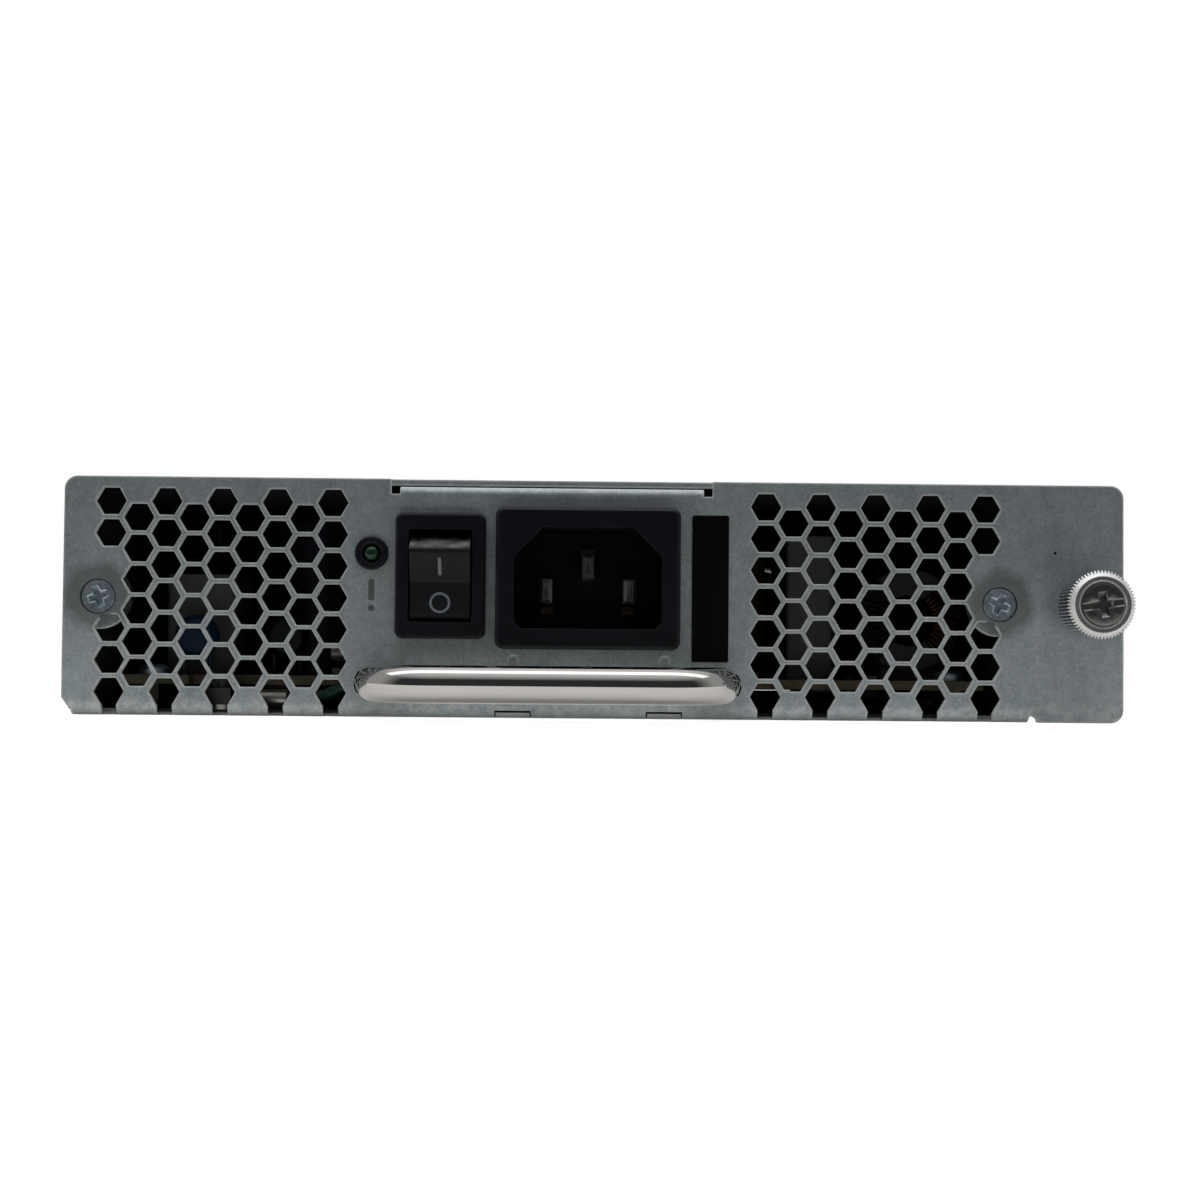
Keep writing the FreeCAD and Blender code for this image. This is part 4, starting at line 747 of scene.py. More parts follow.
def stoodRing(tree, start, end, count, radius, shape, tilt=0.0, uneven=0.0, reach=-1.0):
    # a shape on each point of a circle that is further from its middle line than a reach; the circle is
    # then stood up so that its axis lies along the case
    circle = addNode(tree, "GeometryNodeMeshCircle", {"Vertices": count, "Radius": radius}).outputs["Mesh"]
    where = splitUp(tree, addNode(tree, "GeometryNodeInputPosition").outputs[0])
    angle = plus(tree, calc(tree, "ARCTAN2", where["Y"], where["X"]), uneven)
    inputs = {0: calc(tree, "ABSOLUTE", where["X"]), 1: reach}
    wide = addNode(tree, "FunctionNodeCompare", inputs, operation="GREATER_THAN").outputs[0]
    inputs = {"Points": circle, "Selection": wide, "Instance": shape,
              "Rotation": addNode(tree, "ShaderNodeCombineXYZ", {"X": tilt, "Z": angle}).outputs[0]}
    placed = addNode(tree, "GeometryNodeInstanceOnPoints", inputs).outputs["Instances"]
    inputs = {"Geometry": placed, "Translation": start["Place"], "Rotation": (-quarter, 0, 0)}
    endTree(tree, start, end, addNode(tree, "GeometryNodeTransform", inputs).outputs["Geometry"])


def addThread(bm, origin, axis, length, crest, root, pitch, steps):
    # a helical thread as rings whose radius follows the angle, sizes in mm
    ways = sideways(axis)
    levels = max(2, int(round(length / pitch * 6)))
    rings = []
    for level in range(levels + 1):
        along = length * level / levels

        def reach(share):
            return (root + (crest - root) * (1 - abs(2 * ((along / pitch - share) % 1.0) - 1))) * mm

        rings.append(circleAt(bm, origin + axis * along * mm, ways, reach, steps))
    bridged(bm, rings)


def driverCutter(reach, width, depth, arms=4):
    # the hollow a driver fits, with a chamfered mouth: a tapered cross, or a slot when it has two arms
    stations = ((0.3, reach * 1.24, width * 0.95), (0.0, reach * 1.08, width * 0.72),
                (-0.14, reach, width * 0.5), (-depth, reach * (0.7 if arms == 4 else 1.0), width * 0.36))
    bm = bmesh.new()
    rings = []
    for level, length, half in stations:
        corners = []
        for arm in range(arms):
            turn = 2 * math.pi * arm / arms
            along = vec(math.cos(turn), math.sin(turn))
            aside = vec(-math.sin(turn), math.cos(turn))
            corners += [along * length - aside * half, along * length + aside * half]
            if arms == 4:
                corners.append((along + aside) * half * 1.25)
        rings.append([bm.verts.new((corner + vec(z=level)) * mm) for corner in corners])
    bridged(bm, rings)
    bmesh.ops.recalc_face_normals(bm, faces=bm.faces)
    return plainMesh(bm, "driverCutter")


def carved(mesh, cutterMesh, sharpAngle):
    # takes a cutter out of a mesh and keeps the real corners sharp
    host, cutter = linked("carveHost", mesh), linked("cutter", cutterMesh)
    cut = host.modifiers.new("cut", "BOOLEAN")
    cut.operation = "DIFFERENCE"
    cut.solver = "EXACT"
    cut.object = cutter
    bpy.context.view_layer.update()
    result = evaluatedMesh(host)
    for item in (host, cutter):
        bpy.data.objects.remove(item)
    return closedMesh(meshesTogether(result), mesh.name, sharpAngle)


def screwMesh(pan, radius, length, shank, headHeight):
    # top of the head at the origin, shank down -Z, sizes in mm
    down = vec(0, 0, -1)
    neck = shank * 0.92
    if pan:
        profile = [(0, 0), (0.02, radius * 0.45), (0.16, radius * 0.72), (0.45, radius * 0.9),
                   (0.85, radius), (headHeight, radius)]
    else:
        profile = [(0.02, 0), (0.02, radius * 0.86), (0.0, radius * 0.95), (0.12, radius)]
    profile += [(headHeight, neck), (headHeight + 0.35, neck), (headHeight + 0.35, 0)]
    head = turnedMesh("screwHead", profile, vec(), down, 40, screwSharp)
    cross = driverCutter(radius * 0.6, radius * 0.32, min(headHeight * 0.75, 1.1))
    head = carved(head, cross, screwSharp)
    bm = meshesTogether(head)
    if length > headHeight + 0.8:
        addThread(bm, down * (headHeight + 0.3) * mm, down, length - headHeight - 0.3, shank * 0.97,
                  shank * 0.8, threadPitch, 20)
    bmesh.ops.recalc_face_normals(bm, faces=bm.faces)
    return plainMesh(bm, "screw")


shankRadius, threadPitch, screwSharp = 1.5, 0.5, 28.0
# a head height means a pan head, none a countersunk one
screwLooks = {
    "front_screws": {"facing": "front", "spins": (20, 65)},
    "cover_screws": {"facing": "outward"},
    "handle_screws": {"facing": "rear", "headHeight": 1.8},
    "board_screws": {"facing": "up", "headHeight": 1.8},
    "fan_screws": {"facing": "rear", "headHeight": 1.6},
    "package_screws": {"facing": "inward", "headHeight": 1.8},
}


def facingFor(rule, centre):
    side = 1 if centre.x > 0 else -1
    if rule == "outward":
        return vec(side, 0, 0) if abs(centre.x) > cadBox[1][0] - 25 * mm else vec(0, 0, 1)
    ways = {"front": vec(0, -1, 0), "rear": vec(0, 1, 0), "inward": vec(-side, 0, 0), "up": vec(0, 0, 1)}
    return ways[rule]


def buildScrews():
    chance = random.Random(41)
    for node, look in screwLooks.items():
        groups = {}
        for number, (low, high) in enumerate(islandsOf(node)):
            facing = facingFor(look["facing"], (low + high) / 2)
            size = high - low
            along = abs(facing.dot(size))
            radius = (sum(size) - along) / 4
            top = (low + high) / 2 + facing * along / 2
            spin = look["spins"][number] if "spins" in look else chance.uniform(0, 90)
            group = groups.setdefault((round(radius, 5), round(along, 5)), [])
            group.append((top, facing, math.radians(spin)))
        meshes = []
        for (radius, length), places in groups.items():
            radius, length = radius / mm, length / mm
            headHeight = look.get("headHeight", radius - shankRadius)
            prototype = screwMesh("headHeight" in look, radius, length, shankRadius, headHeight)
            meshes.append(placedCopies(node, prototype, places, "zinc_screws"))
        newPiece("detailed_" + node, plainMesh(meshesTogether(*meshes), node), "zinc_screws", node)
    print("screws built")


buildScrews()


# bar handle
handleLook = {"bend": 10.0, "bendSteps": 14, "around": 56}


def buildHandle():
    low, high = boxOf("handle")
    radius = (high.z - low.z) / 2
    bend, steps = handleLook["bend"] * mm, handleLook["bendSteps"]
    z = (low.z + high.z) / 2
    left, right, out = low.x + radius, high.x - radius, low.y + radius
    path = [vec(left, high.y, z), vec(left, high.y - 0.4 * mm, z)]
    path += arcPoints(vec(left + bend, out + bend, z), vec(-bend), vec(0, -bend), steps)
    path += arcPoints(vec(right - bend, out + bend, z), vec(0, -bend), vec(bend), steps)
    path += [vec(right, high.y - 0.4 * mm, z), vec(right, high.y, z)]
    bm = bmesh.new()
    addTube(bm, path, radius, handleLook["around"])
    newPiece("handle_bar", closedMesh(bm, "handleBar", 40.0), "chromed_rod", "handle")
    print("handle built")


buildHandle()


# captive thumbscrew
# the cut colour is partly a painted highlight; the flat and groove colours are painted shade
knobLook = {"teeth": 60, "toothHeight": 0.42, "rimCone": 0.55, "wall": 1.2, "spin": 8.0, "threadPitch": 0.6,
            "springTurns": 5, "springWire": 0.25, "travel": 2.6, "lip": 3.9, "cut": (0.97, 0.97, 0.96),
            "flat": (0.2, 0.21, 0.225), "flank": (0.66, 0.67, 0.69), "grooveShade": (0.05, 0.052, 0.055)}


def knobMaterial(face, coneStart):
    # turned aluminium: a bright cut on the cone and the lip, partly the metal's own cut and partly a painted
    # highlight; a painted shade on the flat ring between them and in the grooves
    material, tree, shader = blankMaterial("turnedKnob", 1.0)
    place = objectPlace(tree)
    offset = vectorMath(tree, "SUBTRACT", place, tuple(face))[0]
    level = vectorMath(tree, "MULTIPLY", offset, (1, 0, 1))[0]
    radius = vectorMath(tree, "LENGTH", level)["Value"]
    lip, core = knobLook["lip"] * mm, coneStart + knobLook["rimCone"] * mm
    front = ramp(tree, splitUp(tree, offset)["Y"], 1.3 * mm, 1.0 * mm)
    cut = calc(tree, "MAXIMUM", ramp(tree, radius, coneStart - 0.05 * mm, coneStart + 0.03 * mm),
               ramp(tree, radius, lip + 0.05 * mm, lip - 0.05 * mm))
    grain = noise(tree, place, 4200.0, 3.0, 0.7)
    grooveShade = ramp(tree, radius, core + 0.16 * mm, core + 0.02 * mm)
    flank = mixed(tree, grooveShade, rgba(knobLook["flank"]), rgba(knobLook["grooveShade"]))
    flank = mixed(tree, front, flank, mixed(tree, grain, rgba(knobLook["flat"]), (0.3, 0.31, 0.33, 1)))
    # the front is made mostly not metallic, so that its painted highlight and shade show
    feed(tree, shader, {"Base Color": mixed(tree, times(tree, cut, front), flank, rgba(knobLook["cut"])),
                        "Metallic": calc(tree, "SUBTRACT", 1.0, times(tree, front, 0.75)),
                        "Roughness": plus(tree, times(tree, grain, 0.12), 0.2, True)})
    addBump(tree, grain, shader, 0.1, 0.00003)
    return material


def ridgeMesh(height, width, length):
    # one straight tooth of the knurl: outwards is +X, along the knob is +Z
    bm = bmesh.new()
    rings = []
    for along, peak in ((0, 0), (height, height), (length - height, height), (length, 0)):
        corners = ((-0.1, -width / 2), (peak, -width * 0.2), (peak, width * 0.2), (-0.1, width / 2))
        rings.append([bm.verts.new(vec(x, y, along) * mm) for x, y in corners])
    bridged(bm, rings)
    bmesh.ops.recalc_face_normals(bm, faces=bm.faces)
    return plainMesh(bm, "knurlRidge")


def buildKnurlTree():
    # ridges round a circle
    tree, start, end = growTree("knurl", [("Prototype", "Object", None), ("Teeth", "Int", 60),
                                          ("Radius", "Float", 0.005), ("Place", "Vector", (0, 0, 0))])
    stoodRing(tree, start, end, start["Teeth"], start["Radius"], shapeOf(tree, start))
    return tree


def buildKnob():
    low, high, face = faceOf("thumbscrew_knob")
    radius, length = (high.x - low.x) / 2 / mm, (high.y - low.y) / mm
    tooth, cone, lip = (knobLook[key] for key in ("toothHeight", "rimCone", "lip"))
    core = radius - tooth
    hollow = radius - knobLook["wall"]
    profile = [(0.55, 1.42), (0.55, 3.58), (0.28, 3.6), (0.1, lip - 0.2), (0.02, lip - 0.1), (0.0, lip),
               (0.05, lip + 0.06), (0.03, core - cone - 0.05), (0.0, core - cone), (cone, core),
               (length - 0.35, core), (length, core - 0.35), (length, hollow + 0.1), (length - 0.1, hollow),
               (1.0, hollow), (1.0, 1.42), (0.55, 1.42)]
    body = turnedMesh("knobCore", profile, face, steps=120, sharpAngle=25.0)
    width = 2 * math.pi * core / knobLook["teeth"] * 0.96
    ridge = linked("knurlRidge", ridgeMesh(tooth, width, length - cone - 0.2))
    turned = knobMaterial(face, (core - cone) * mm)
    knurl = grown("knobKnurl", buildKnurlTree(), bpy.data.meshes.new("knurlHost"),
                  {"Prototype": ridge, "Material": turned, "Teeth": knobLook["teeth"], "Radius": core * mm,
                   "Place": tuple(face + intoCase * cone * mm)})
    bpy.data.objects.remove(ridge)
    mesh = plainMesh(meshesTogether(body, knurl), "knob")
    mesh.materials.append(turned)
    newPiece("thumb_knob", mesh, "knurled_aluminium", "thumbscrew_knob", "thumbscrew_turn")


def buildThumbScrew():
    low, high, face = faceOf("thumbscrew_screw")
    radius = (high.x - low.x) / 2 / mm - 0.1
    thread = (high.y - low.y) / mm - 4.6
    profile = [(0.0, 0), (0.0, radius - 0.2), (0.06, radius - 0.05), (0.3, radius), (0.85, radius),
               (0.85, 1.3), (thread - 3.8, 1.3), (thread - 3.75, 1.6), (thread - 0.6, 1.6),
               (thread - 0.6, 1.3), (thread + 0.05, 1.3), (thread + 0.05, 0)]
    head = turnedMesh("thumbScrewHead", profile, face, steps=64)
    turn = Matrix.Rotation(quarter, 4, "X") @ Matrix.Rotation(math.radians(knobLook["spin"]), 4, "Z")
    for cutter in (driverCutter(radius + 0.4, 0.95, 0.42, 2), driverCutter(1.95, 1.0, 0.75)):
        cutter.transform(Matrix.Translation(face) @ turn)
        head = carved(head, cutter, 30.0)
    bm = meshesTogether(head)
    start = face + intoCase * thread * mm
    addThread(bm, start, intoCase, 4.2, 1.75, 1.42, knobLook["threadPitch"], 36)
    addLathe(bm, [(4.15, 1.5), (4.6, 1.25), (4.6, 0)], start, steps=36)
    bmesh.ops.recalc_face_normals(bm, faces=bm.faces)
    for polygon in bm.faces:
        polygon.smooth = True
    newPiece("thumb_screw", plainMesh(bm, "thumbScrew"), "dark_steel", "thumbscrew_screw", "thumbscrew_turn")


def buildSpring():
    low, high = boxOf("thumbscrew_spring")
    wire, turns = knobLook["springWire"] * mm, knobLook["springTurns"]
    centre = (low + high) / 2
    radius = (high.x - low.x) / 2 - wire
    first, last = low.y + wire, high.y - wire
    path = []
    for i in range(turns * 40 + 1):
        share = i / (turns * 40)
        angle = 2 * math.pi * turns * share
        path.append(vec(centre.x + radius * math.cos(angle), first + (last - first) * share,
                        centre.z + radius * math.sin(angle)))
    bm = bmesh.new()
    addTube(bm, path, wire, 12)
    spring = newPiece("thumb_spring", closedMesh(bm, "thumbSpring", 40.0), "dark_steel", "thumbscrew_spring")
    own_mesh(spring)


def buildFerrule():
    low, high, face = faceOf("thumbscrew_ferrule")
    flange, length = (high.x - low.x) / 2 / mm, (high.y - low.y) / mm
    front = length - 1.0  # the panel's front face, measured from the ferrule's mouth
    profile = [(0.0, 1.4), (0.0, 2.9), (0.3, 3.2), (front - 0.8, 3.2), (front - 0.8, flange - 0.3),
               (front - 0.5, flange), (front, flange), (front, 3.2), (length, 3.2), (length, 2.05),
               (0.8, 2.05), (0.8, 1.4), (0.0, 1.4)]
    newPiece("thumb_ferrule", turnedMesh("thumbFerrule", profile, face, steps=64), "knurled_aluminium",
             "thumbscrew_ferrule")


buildKnob()
buildThumbScrew()
buildSpring()
buildFerrule()
print("thumbscrew built")


# insulating film under the board
filmLook = {"rise": 2.4, "thick": 0.3, "bend": 0.8}


def buildFilm():
    # a thin film with its long edges turned up
    low, high = boxOf("insulator_sheet")
    rise, thick, bend = (filmLook[key] * mm for key in ("rise", "thick", "bend"))
    middle = vec(high.x - thick - bend, 0, low.z + thick + bend)
    inner, outer = ([vec(middle.x + arm, 0, low.z + rise)] + arcPoints(middle, vec(arm), vec(z=-arm), 6)
                    for arm in (bend, bend + thick))
    half = len(inner)
    inner, outer = (side + [vec(-p.x, 0, p.z) for p in reversed(side)] for side in (inner, outer))
    section = inner + outer[::-1]
    bm = bmesh.new()
    rings = [[bm.verts.new(p + vec(0, y, 0)) for p in section] for y in (low.y, high.y)]
    bridged(bm, rings, False)
    count = len(section)
    for ring in rings:
        for i in range(2 * half - 1):
            bm.faces.new([ring[i], ring[i + 1], ring[count - 2 - i], ring[count - 1 - i]])
    newPiece("insulator_film", closedMesh(bm, "insulatorFilm"), "insulator_film", "insulator_sheet")


buildFilm()
print("film built")


# indicator, label and marks on the front
lampLook = {"radius": 1.45, "domeSteps": 12, "bodyEnd": 6.0, "flange": 1.85, "length": 7.3, "bore": 1.5,
            "legOffset": 1.27, "legRadius": 0.24, "legStart": 8.2}
frontLook = {"markDepth": 0.02, "markEdge": 0.01, "barSize": (1.0, 3.5), "barDrop": 6.1, "dotRadius": 0.54,
             "dotDrop": 9.15, "labelRim": 0.13, "earDotRadius": 0.24, "earDotOffset": (-4.8, 8.9)}


def printedMesh(bm, name, finishName, look):
    # a closed mesh with a grain finish of its own
    mesh = closedMesh(bm, name)
    mesh.materials.append(grainMaterial(finishName, look))
    return mesh


def buildLamp():
    # a domed lens, with its two legs running back behind it
    low, high, face = faceOf("led_lamp")
    radius, bodyEnd, flange, length = (lampLook[key] for key in ("radius", "bodyEnd", "flange", "length"))
    angles = [quarter * i / lampLook["domeSteps"] for i in range(lampLook["domeSteps"] + 1)]
    profile = [(radius * (1 - math.cos(angle)), radius * math.sin(angle)) for angle in angles]
    profile += [(bodyEnd - 0.8, radius), (bodyEnd, radius), (bodyEnd, flange), (length, flange), (length, 0)]
    newPiece("lamp_lens", turnedMesh("lampLens", profile, face, sharpAngle=35.0), "green_lens", "led_lamp")
    bm = bmesh.new()
    for side in (-1, 1):
        x = face.x + side * lampLook["legOffset"] * mm
        ends = [vec(x, high.y, face.z), vec(x, low.y + lampLook["legStart"] * mm, face.z)]
        addTube(bm, ends, lampLook["legRadius"] * mm, 8)
    newPiece("lamp_legs", closedMesh(bm, "lampLegs"), "tinned_contacts")


def buildLampHolder():
    low, high, face = faceOf("led_holder")
    outer, length, bore = (high.x - low.x) / 2 / mm, (high.y - low.y) / mm, lampLook["bore"]
    flange = (panelFront - low.y) / mm
    profile = [(0.35, bore), (0.12, bore + 0.18), (0.0, bore + 0.4), (0.0, outer - 0.35), (0.1, outer - 0.1),
               (0.3, outer), (flange, outer), (flange, 2.2), (length, 2.2), (length, bore), (0.35, bore)]
    newPiece("lamp_holder", turnedMesh("lampHolder", profile, face, steps=56), "black_plastic", "led_holder")


def buildLabel():
    # bare black film with a thin clear border left by the die
    low, high = boxOf("blank_label")
    width, height, rim = (high.x - low.x) / mm, (high.z - low.z) / mm, frontLook["labelRim"]
    place = vec((low.x + high.x) / 2, high.y, (low.z + high.z) / 2)
    bm = bmesh.new()
    addSlab(bm, roundedOutline(width, height, 0.5), place, 0.08 * mm, 0.03 * mm)
    film = printedMesh(bm, "labelFilm", "labelFilm",
                       {"colour": (0.42, 0.45, 0.45), "second": (0.3, 0.33, 0.33), "roughness": 0.3,
                        "cloud": 500.0, "coat": 0.3})
    newPiece("label_film", film, "black_label", "blank_label")
    bm = bmesh.new()
    outline = roundedOutline(width - 2 * rim, height - 2 * rim, 0.35)
    addSlab(bm, outline, place - intoCase * 0.08 * mm, 0.05 * mm, 0.02 * mm)
    newPiece("label_face", closedMesh(bm, "labelFace"), "black_label")


def discOutline(radius, steps=24):
    angles = [2 * math.pi * i / steps for i in range(steps)]
    return [(radius * mm * math.cos(angle), radius * mm * math.sin(angle)) for angle in angles]


def buildPanelMarks():
    # a short bar over a dot below the lamp, thin grey plates whose grey is painted shade for stamped marks,
    # and a tiny dark dot on the ear
    look = frontLook
    lamp, knob = faceOf("led_holder")[2], faceOf("thumbscrew_knob")[2]
    depth, edge = look["markDepth"] * mm, look["markEdge"] * mm
    bm = bmesh.new()
    for outline, drop in ((roundedOutline(*look["barSize"], 0.3, 4), look["barDrop"]),
                          (discOutline(look["dotRadius"]), look["dotDrop"])):
        addSlab(bm, outline, vec(lamp.x, panelFront, lamp.z - drop * mm), depth, edge)
    marks = printedMesh(bm, "panelMarks", "stampShade", {"colour": (0.12, 0.135, 0.14), "roughness": 0.5,
                                                        "second": (0.15, 0.165, 0.17), "cloud": 900.0})
    newPiece("panel_marks", marks, "galvanised_steel")
    aside, rise = look["earDotOffset"]
    bm = bmesh.new()
    place = vec(knob.x + aside * mm, panelFront, knob.z + rise * mm)
    addSlab(bm, discOutline(look["earDotRadius"], 16), place, depth, edge)
    newPiece("ear_dot", closedMesh(bm, "earDot"), "black_label")


buildLamp()
buildLampHolder()
buildLabel()
buildPanelMarks()
print("lamp, label and marks built")


# rocker marks
rockerMarkLook = {"barRise": 1.45, "barSize": (0.56, 3.2), "ringDrop": 4.5, "ringRadius": 1.74, "line": 0.4,
                  "thick": 0.02, "edge": 0.008, "ringSteps": 48}


def onRocker(z):
    # where a line into the case meets the rocker's face, and the directions across, up and out there
    low, high = boxOf("switch_rocker")
    mesh = frame["nodes"]["switch_rocker"].data
    mesh.calc_loop_triangles()
    corners = [v.co.copy() for v in mesh.vertices]
    tree = BVHTree.FromPolygons(corners, [t.vertices[:] for t in mesh.loop_triangles])
    spot, out = tree.ray_cast(vec((low.x + high.x) / 2, -1, z), intoCase)[:2]
    if out.y > 0:
        out.negate()
    across = vec(1, 0, 0)
    return spot, (across, across.cross(out).normalized(), out)


def buildRockerMarks():
    low, high = boxOf("switch_housing")
    middle = (low.z + high.z) / 2
    look = rockerMarkLook
    thick = look["thick"] * mm
    bm = bmesh.new()
    spot, ways = onRocker(middle + look["barRise"] * mm)
    addSlab(bm, roundedOutline(*look["barSize"], 0.15, 3), spot, thick, look["edge"] * mm, ways)
    spot, ways = onRocker(middle - look["ringDrop"] * mm)
    outer, inner = look["ringRadius"] * mm, (look["ringRadius"] - look["line"]) * mm
    rings = [circleAt(bm, spot + ways[2] * level, ways, radius, look["ringSteps"])
             for level, radius in ((0, inner), (thick, inner), (thick, outer), (0, outer))]
    bridged(bm, rings + rings[:1], False)
    marks = printedMesh(bm, "rockerMarks", "rockerPrint", {"colour": (0.33, 0.38, 0.42), "roughness": 0.5,
                                                           "second": (0.26, 0.31, 0.35), "cloud": 900.0})
    newPiece("rocker_marks", marks, "rocker_plastic", body="rocker")


buildRockerMarks()
print("rocker marks built")


# inlet floor: pressed shoulders round the blades
shoulderLook = {"floorDepth": 17.5, "size": (2.6, 1.7), "offset": 3.0, "height": 1.0, "spread": 0.1,
                "seed": 5}


def buildInletShoulders():
    low, high = boxOf("inlet_housing")
    look = shoulderLook
    chance = random.Random(look["seed"])
    bm = bmesh.new()
    for bladeLow, bladeHigh in islandsOf("inlet_blades"):
        x = (bladeLow.x + bladeHigh.x) / 2
        side = 1 if abs(x - (low.x + high.x) / 2) < 1 * mm else -1
        z = (bladeLow.z + bladeHigh.z) / 2 + side * look["offset"] * mm
        height = (look["height"] + chance.uniform(0, look["spread"])) * mm
        place = vec(x, low.y + look["floorDepth"] * mm, z)
        addSlab(bm, roundedOutline(*look["size"], 0.25, 3), place, height, 0.15 * mm)
    shoulders = printedMesh(bm, "inletShoulders", "tarnishedMetal",
                            {"colour": (0.2, 0.14, 0.115), "second": (0.08, 0.06, 0.05), "roughness": 0.4,
                             "cloud": 1600.0, "metallic": 0.7})
    newPiece("inlet_shoulders", shoulders, "tinned_contacts")


buildInletShoulders()
print("inlet details built")


# windings of the two ring chokes
windingLook = {"slot": "copper_wire", "packing": 0.46, "gapShare": 0.58, "lean": 0.02}
chokeLooks = {
    "filter_choke": {"inner": 4.6, "wire": 0.9, "turns": 44, "seed": 3},
    "output_choke": {"inner": 5.4, "wire": 1.2, "turns": 36, "seed": 9},
}


def buildWindingTree():
    # wire loops round a ring core, each a closed rounded loop with a little unevenness
    inputs = [("Turns", "Int", 20), ("Ring Radius", "Float", 0.008), ("Loop Width", "Float", 0.006),
              ("Loop Height", "Float", 0.01), ("Wire Radius", "Float", 0.0005), ("Gap Share", "Float", 0.12),
              ("Lean", "Float", 0.1), ("Seed", "Int", 1), ("Place", "Vector", (0, 0, 0))]
    tree, start, end = growTree("ringWinding", inputs)
    inputs = {"Width": start["Loop Width"], "Height": start["Loop Height"]}
    loop = addNode(tree, "GeometryNodeCurvePrimitiveQuadrilateral", inputs).outputs["Curve"]
    inputs = {"Curve": loop, "Radius": times(tree, start["Wire Radius"], 2.2), "Count": 4}
    soft = addNode(tree, "GeometryNodeFilletCurve", inputs, mode="POLY").outputs["Curve"]
    inputs = {"Resolution": 10, "Radius": start["Wire Radius"]}
    section = addNode(tree, "GeometryNodeCurvePrimitiveCircle", inputs).outputs["Curve"]
    wire = addNode(tree, "GeometryNodeCurveToMesh", {"Curve": soft, "Profile Curve": section}).outputs["Mesh"]
    reach = times(tree, start["Ring Radius"], start["Gap Share"])
    inputs = {2: times(tree, start["Lean"], -1.0), 3: start["Lean"], "Seed": start["Seed"]}
    uneven = addNode(tree, "FunctionNodeRandomValue", inputs, data_type="FLOAT").outputs[1]
    stoodRing(tree, start, end, start["Turns"], start["Ring Radius"], wire, quarter, uneven, reach)
    return tree


def buildWindings():
    tree = buildWindingTree()
    for name, look in chokeLooks.items():
        low, high = boxOf(name + "_core")
        outer, inner, wire = (high.x - low.x) / 2, look["inner"] * mm, look["wire"] * mm
        place = ((low.x + high.x) / 2, (low.y + high.y) / 2, high.z - outer)
        values = {"Material": finish[windingLook["slot"]], "Turns": look["turns"],
                  "Ring Radius": (outer + inner) / 2, "Loop Width": outer - inner + wire,
                  "Loop Height": high.y - low.y + wire,
                  "Wire Radius": wire * windingLook["packing"], "Gap Share": windingLook["gapShare"],
                  "Lean": windingLook["lean"], "Seed": look["seed"], "Place": place}
        mesh = grown(name + "Turns", tree, bpy.data.meshes.new(name + "Host"), values)
        for polygon in mesh.polygons:
            polygon.use_smooth = True
        newPiece(name + "_turns", mesh, windingLook["slot"], name + "_winding")
    print("windings built")


buildWindings()


# small parts on the board, in loose rows
boardPartLook = {"pitch": (7.0, 8.0), "share": 0.45, "seed": 17, "clear": 2.6, "margin": 4.0,
                 "endMargin": 30.0, "loose": 0.8}
chipLooks = (("package_epoxy", (3.2, 1.6, 0.6)), ("standoff_brass", (2.0, 1.25, 0.9)))


def chipMesh(length, width, height):
    # a chip body with a plated cap at each end, sizes in mm
    bm = bmesh.new()
    body = length * 0.3
    ways = (vec(0, 1, 0), vec(0, 0, 1), vec(1, 0, 0))
    for start, end, grow in ((-length / 2, -body, 1.0), (-body, body, 0.93), (body, length / 2, 1.0)):
        outline = [(across * grow, up * grow) for across, up in roundedOutline(width, height, 0.12, 1)]
        addSlab(bm, outline, vec(start, 0, height / 2) * mm, (end - start) * mm, 0.03 * mm, ways)
    return closedMesh(bm, "chip")


def freeBoardSpots():
    # grid spots on the board that no CAD part stands on
    low, high = boxOf("main_board")
    look = boardPartLook
    blocked = [box for node in frame["nodes"] if node != "main_board" for box in islandsOf(node)
               if box[0].z < high.z + 3 * mm and box[1].z > high.z + 0.05 * mm and box[1].x - box[0].x < 0.15]
    chance = random.Random(look["seed"])
    clear, margin, loose = look["clear"] * mm, look["margin"] * mm, look["loose"]
    spots = []
    y = low.y + margin
    while y < high.y - look["endMargin"] * mm:
        x = low.x + margin
        while x < high.x - margin:
            spot = vec(x + chance.uniform(-loose, loose) * mm, y + chance.uniform(-loose, loose) * mm, high.z)
            free = not any(near.x - clear < spot.x < far.x + clear and near.y - clear < spot.y < far.y + clear
                           for near, far in blocked)
            if free and chance.random() < look["share"]:
                spots.append((spot, vec(0, 0, 1), math.radians(chance.choice((0.0, 90.0)))))
            x += look["pitch"][0] * mm
        y += look["pitch"][1] * mm
    return spots


def buildBoardParts():
    spots = freeBoardSpots()
    for kind, (slotName, size) in enumerate(chipLooks):
        mesh = placedCopies("chips" + str(kind), chipMesh(*size), spots[kind::2], slotName)
        newPiece("board_chips_" + str(kind), mesh, slotName)
    print("board parts built:", len(spots))


buildBoardParts()


# floor, light and camera
studioLook = {"floorColour": (0.8, 0.79, 0.76), "floorSecond": (0.78, 0.77, 0.745), "floorFront": -0.19,
              "floorReach": 3.0, "floorDrop": 0.03, "glow": 0.75, "glossyGlow": 0.2, "frontDark": 0.035,
              "sky": 0.78, "ahead": 0.44, "keyPower": 4.0, "stripPower": 1.1}


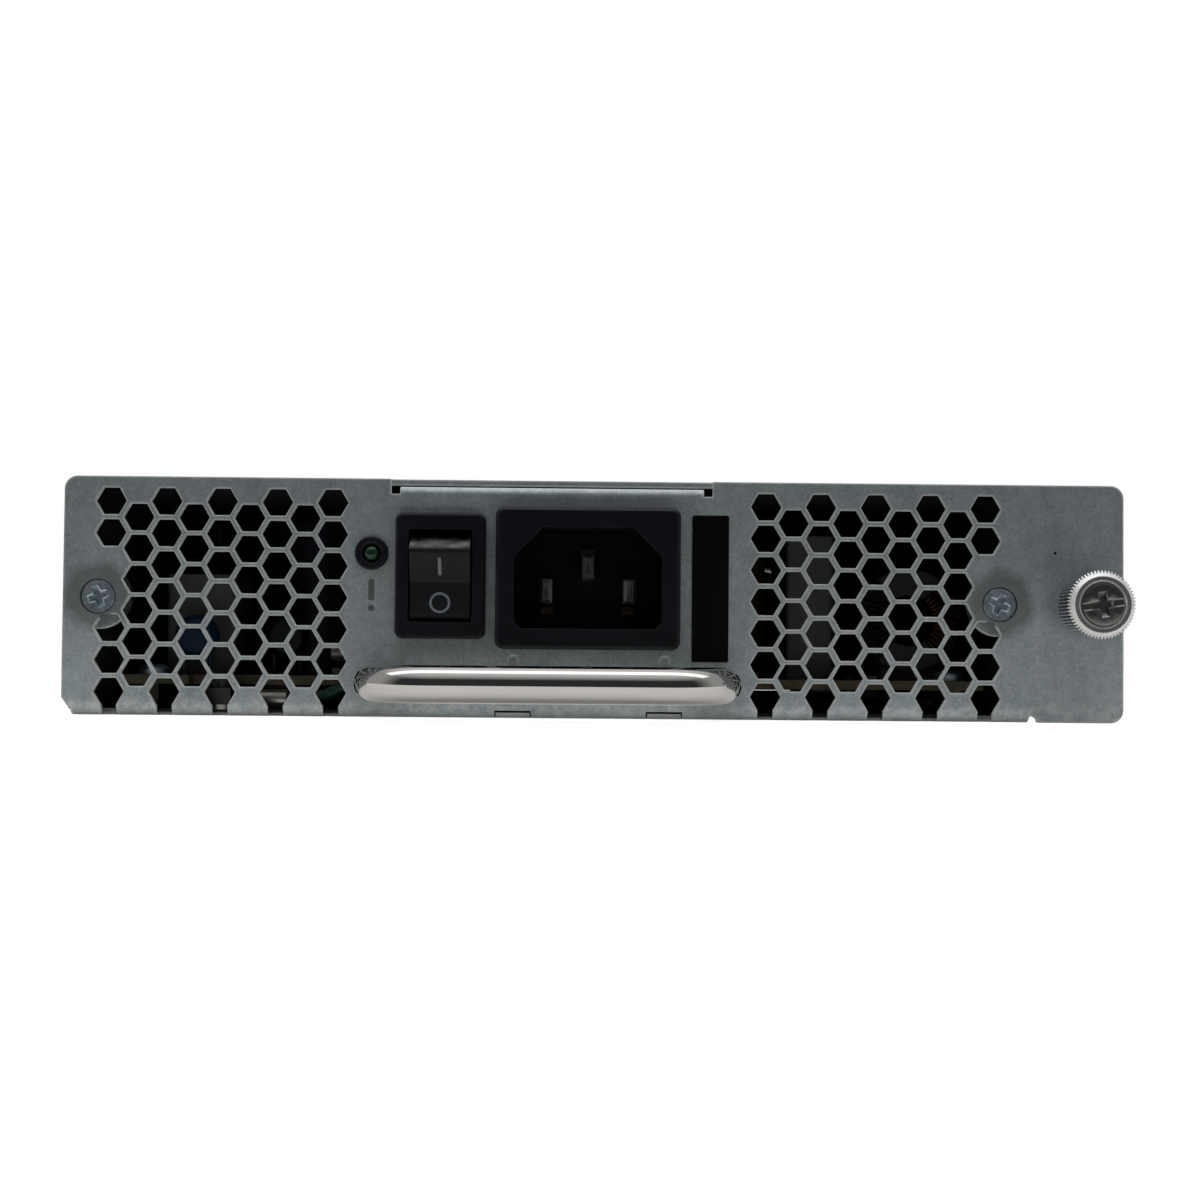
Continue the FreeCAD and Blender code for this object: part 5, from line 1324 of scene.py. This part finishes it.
def buildFloor():
    look = studioLook
    reach = look["floorReach"]
    bm = bmesh.new()
    bmesh.ops.create_grid(bm, x_segments=8, y_segments=8, size=reach)
    offset = (0, look["floorFront"] + reach, cadBox[0][2] - look["floorDrop"] * mm)
    bmesh.ops.translate(bm, verts=bm.verts, vec=offset)
    mesh = plainMesh(bm, "floor")
    material, tree, shader = blankMaterial("paleFloor", specular=0.1)
    grain = useGroup(tree, surfaceGrain,
                     {"Colour": rgba(look["floorColour"]), "Second Colour": rgba(look["floorSecond"]),
                      "Roughness": 0.8, "Grain Scale": 300.0, "Cloud Scale": 3.0})
    rays = addNode(tree, "ShaderNodeLightPath").outputs
    shown = plus(tree, rays["Is Camera Ray"], times(tree, rays["Is Glossy Ray"], look["glossyGlow"]))
    feed(tree, shader, {"Base Color": grain["Colour"], "Roughness": grain["Roughness"],
                        "Emission Strength": shown})
    shader["Emission Color"].default_value = rgba([look["glow"]] * 3)
    mesh.materials.append(material)
    linked("floor", mesh)


def buildWorld():
    # white to the camera; a soft room to everything else, darker ahead of the front
    world = bpy.data.worlds.new("softRoom")
    bpy.context.scene.world = world
    world.use_nodes = True
    tree = world.node_tree
    way = splitUp(tree, addNode(tree, "ShaderNodeTexCoord").outputs["Generated"])
    ahead = times(tree, ramp(tree, way["Y"], -0.65, -0.2), studioLook["ahead"])
    level = calc(tree, "MAXIMUM", ramp(tree, way["Z"], 0.5, 0.97), ahead)
    dark, sky = studioLook["frontDark"], studioLook["sky"]
    room = mixed(tree, level, (dark, dark, dark * 1.03, 1), (sky, sky, sky * 0.99, 1))
    rays = addNode(tree, "ShaderNodeLightPath").outputs
    seen = calc(tree, "MAXIMUM", rays["Is Camera Ray"], rays["Is Transmission Ray"])
    feed(tree, tree.nodes["Background"].inputs, {"Color": mixed(tree, seen, room, (1, 1, 1, 1))})


def addSoftbox(name, place, target, size, power, colour, shown):
    light = bpy.data.lights.new(name, "AREA")
    light.shape = "RECTANGLE"
    light.size, light.size_y = size
    light.energy = power
    light.color = colour
    lamp = linked(name, light)
    lamp.location = place
    lamp.rotation_euler = (Vector(target) - Vector(place)).to_track_quat("-Z", "Y").to_euler()
    lamp.visible_glossy = shown


def buildLights():
    addSoftbox("keyBox", (0.0, 0.05, 0.9), (0, 0.05, 0.02), (1.6, 1.1), studioLook["keyPower"],
               (1.0, 0.99, 0.975), False)
    addSoftbox("stripBox", (0.0, -0.21, 0.62), (0, -0.15, 0.02), (1.3, 0.24), studioLook["stripPower"],
               (0.97, 0.985, 1.0), True)


cameraLook = {"eye": (0.00386, -0.4248, 0.0099), "aim": (0.00794, -0.125, 0.01985), "lens": 53.91,
              "roll": 0.511}


def buildCamera():
    data = bpy.data.cameras.new("viewer")
    data.lens = cameraLook["lens"]
    data.sensor_width = 36.0
    data.clip_start = 0.005
    camera = linked("viewer", data)
    eye, aim = Vector(cameraLook["eye"]), Vector(cameraLook["aim"])
    look = (aim - eye).to_track_quat("-Z", "Y").to_matrix().to_4x4()
    roll = Matrix.Rotation(math.radians(cameraLook["roll"]), 4, "Z")
    camera.matrix_world = Matrix.Translation(eye) @ look @ roll
    bpy.context.scene.camera = camera


buildFloor()
buildWorld()
buildLights()
buildCamera()
bpy.context.scene.view_settings.view_transform = "Standard"
print("floor, light and camera set")
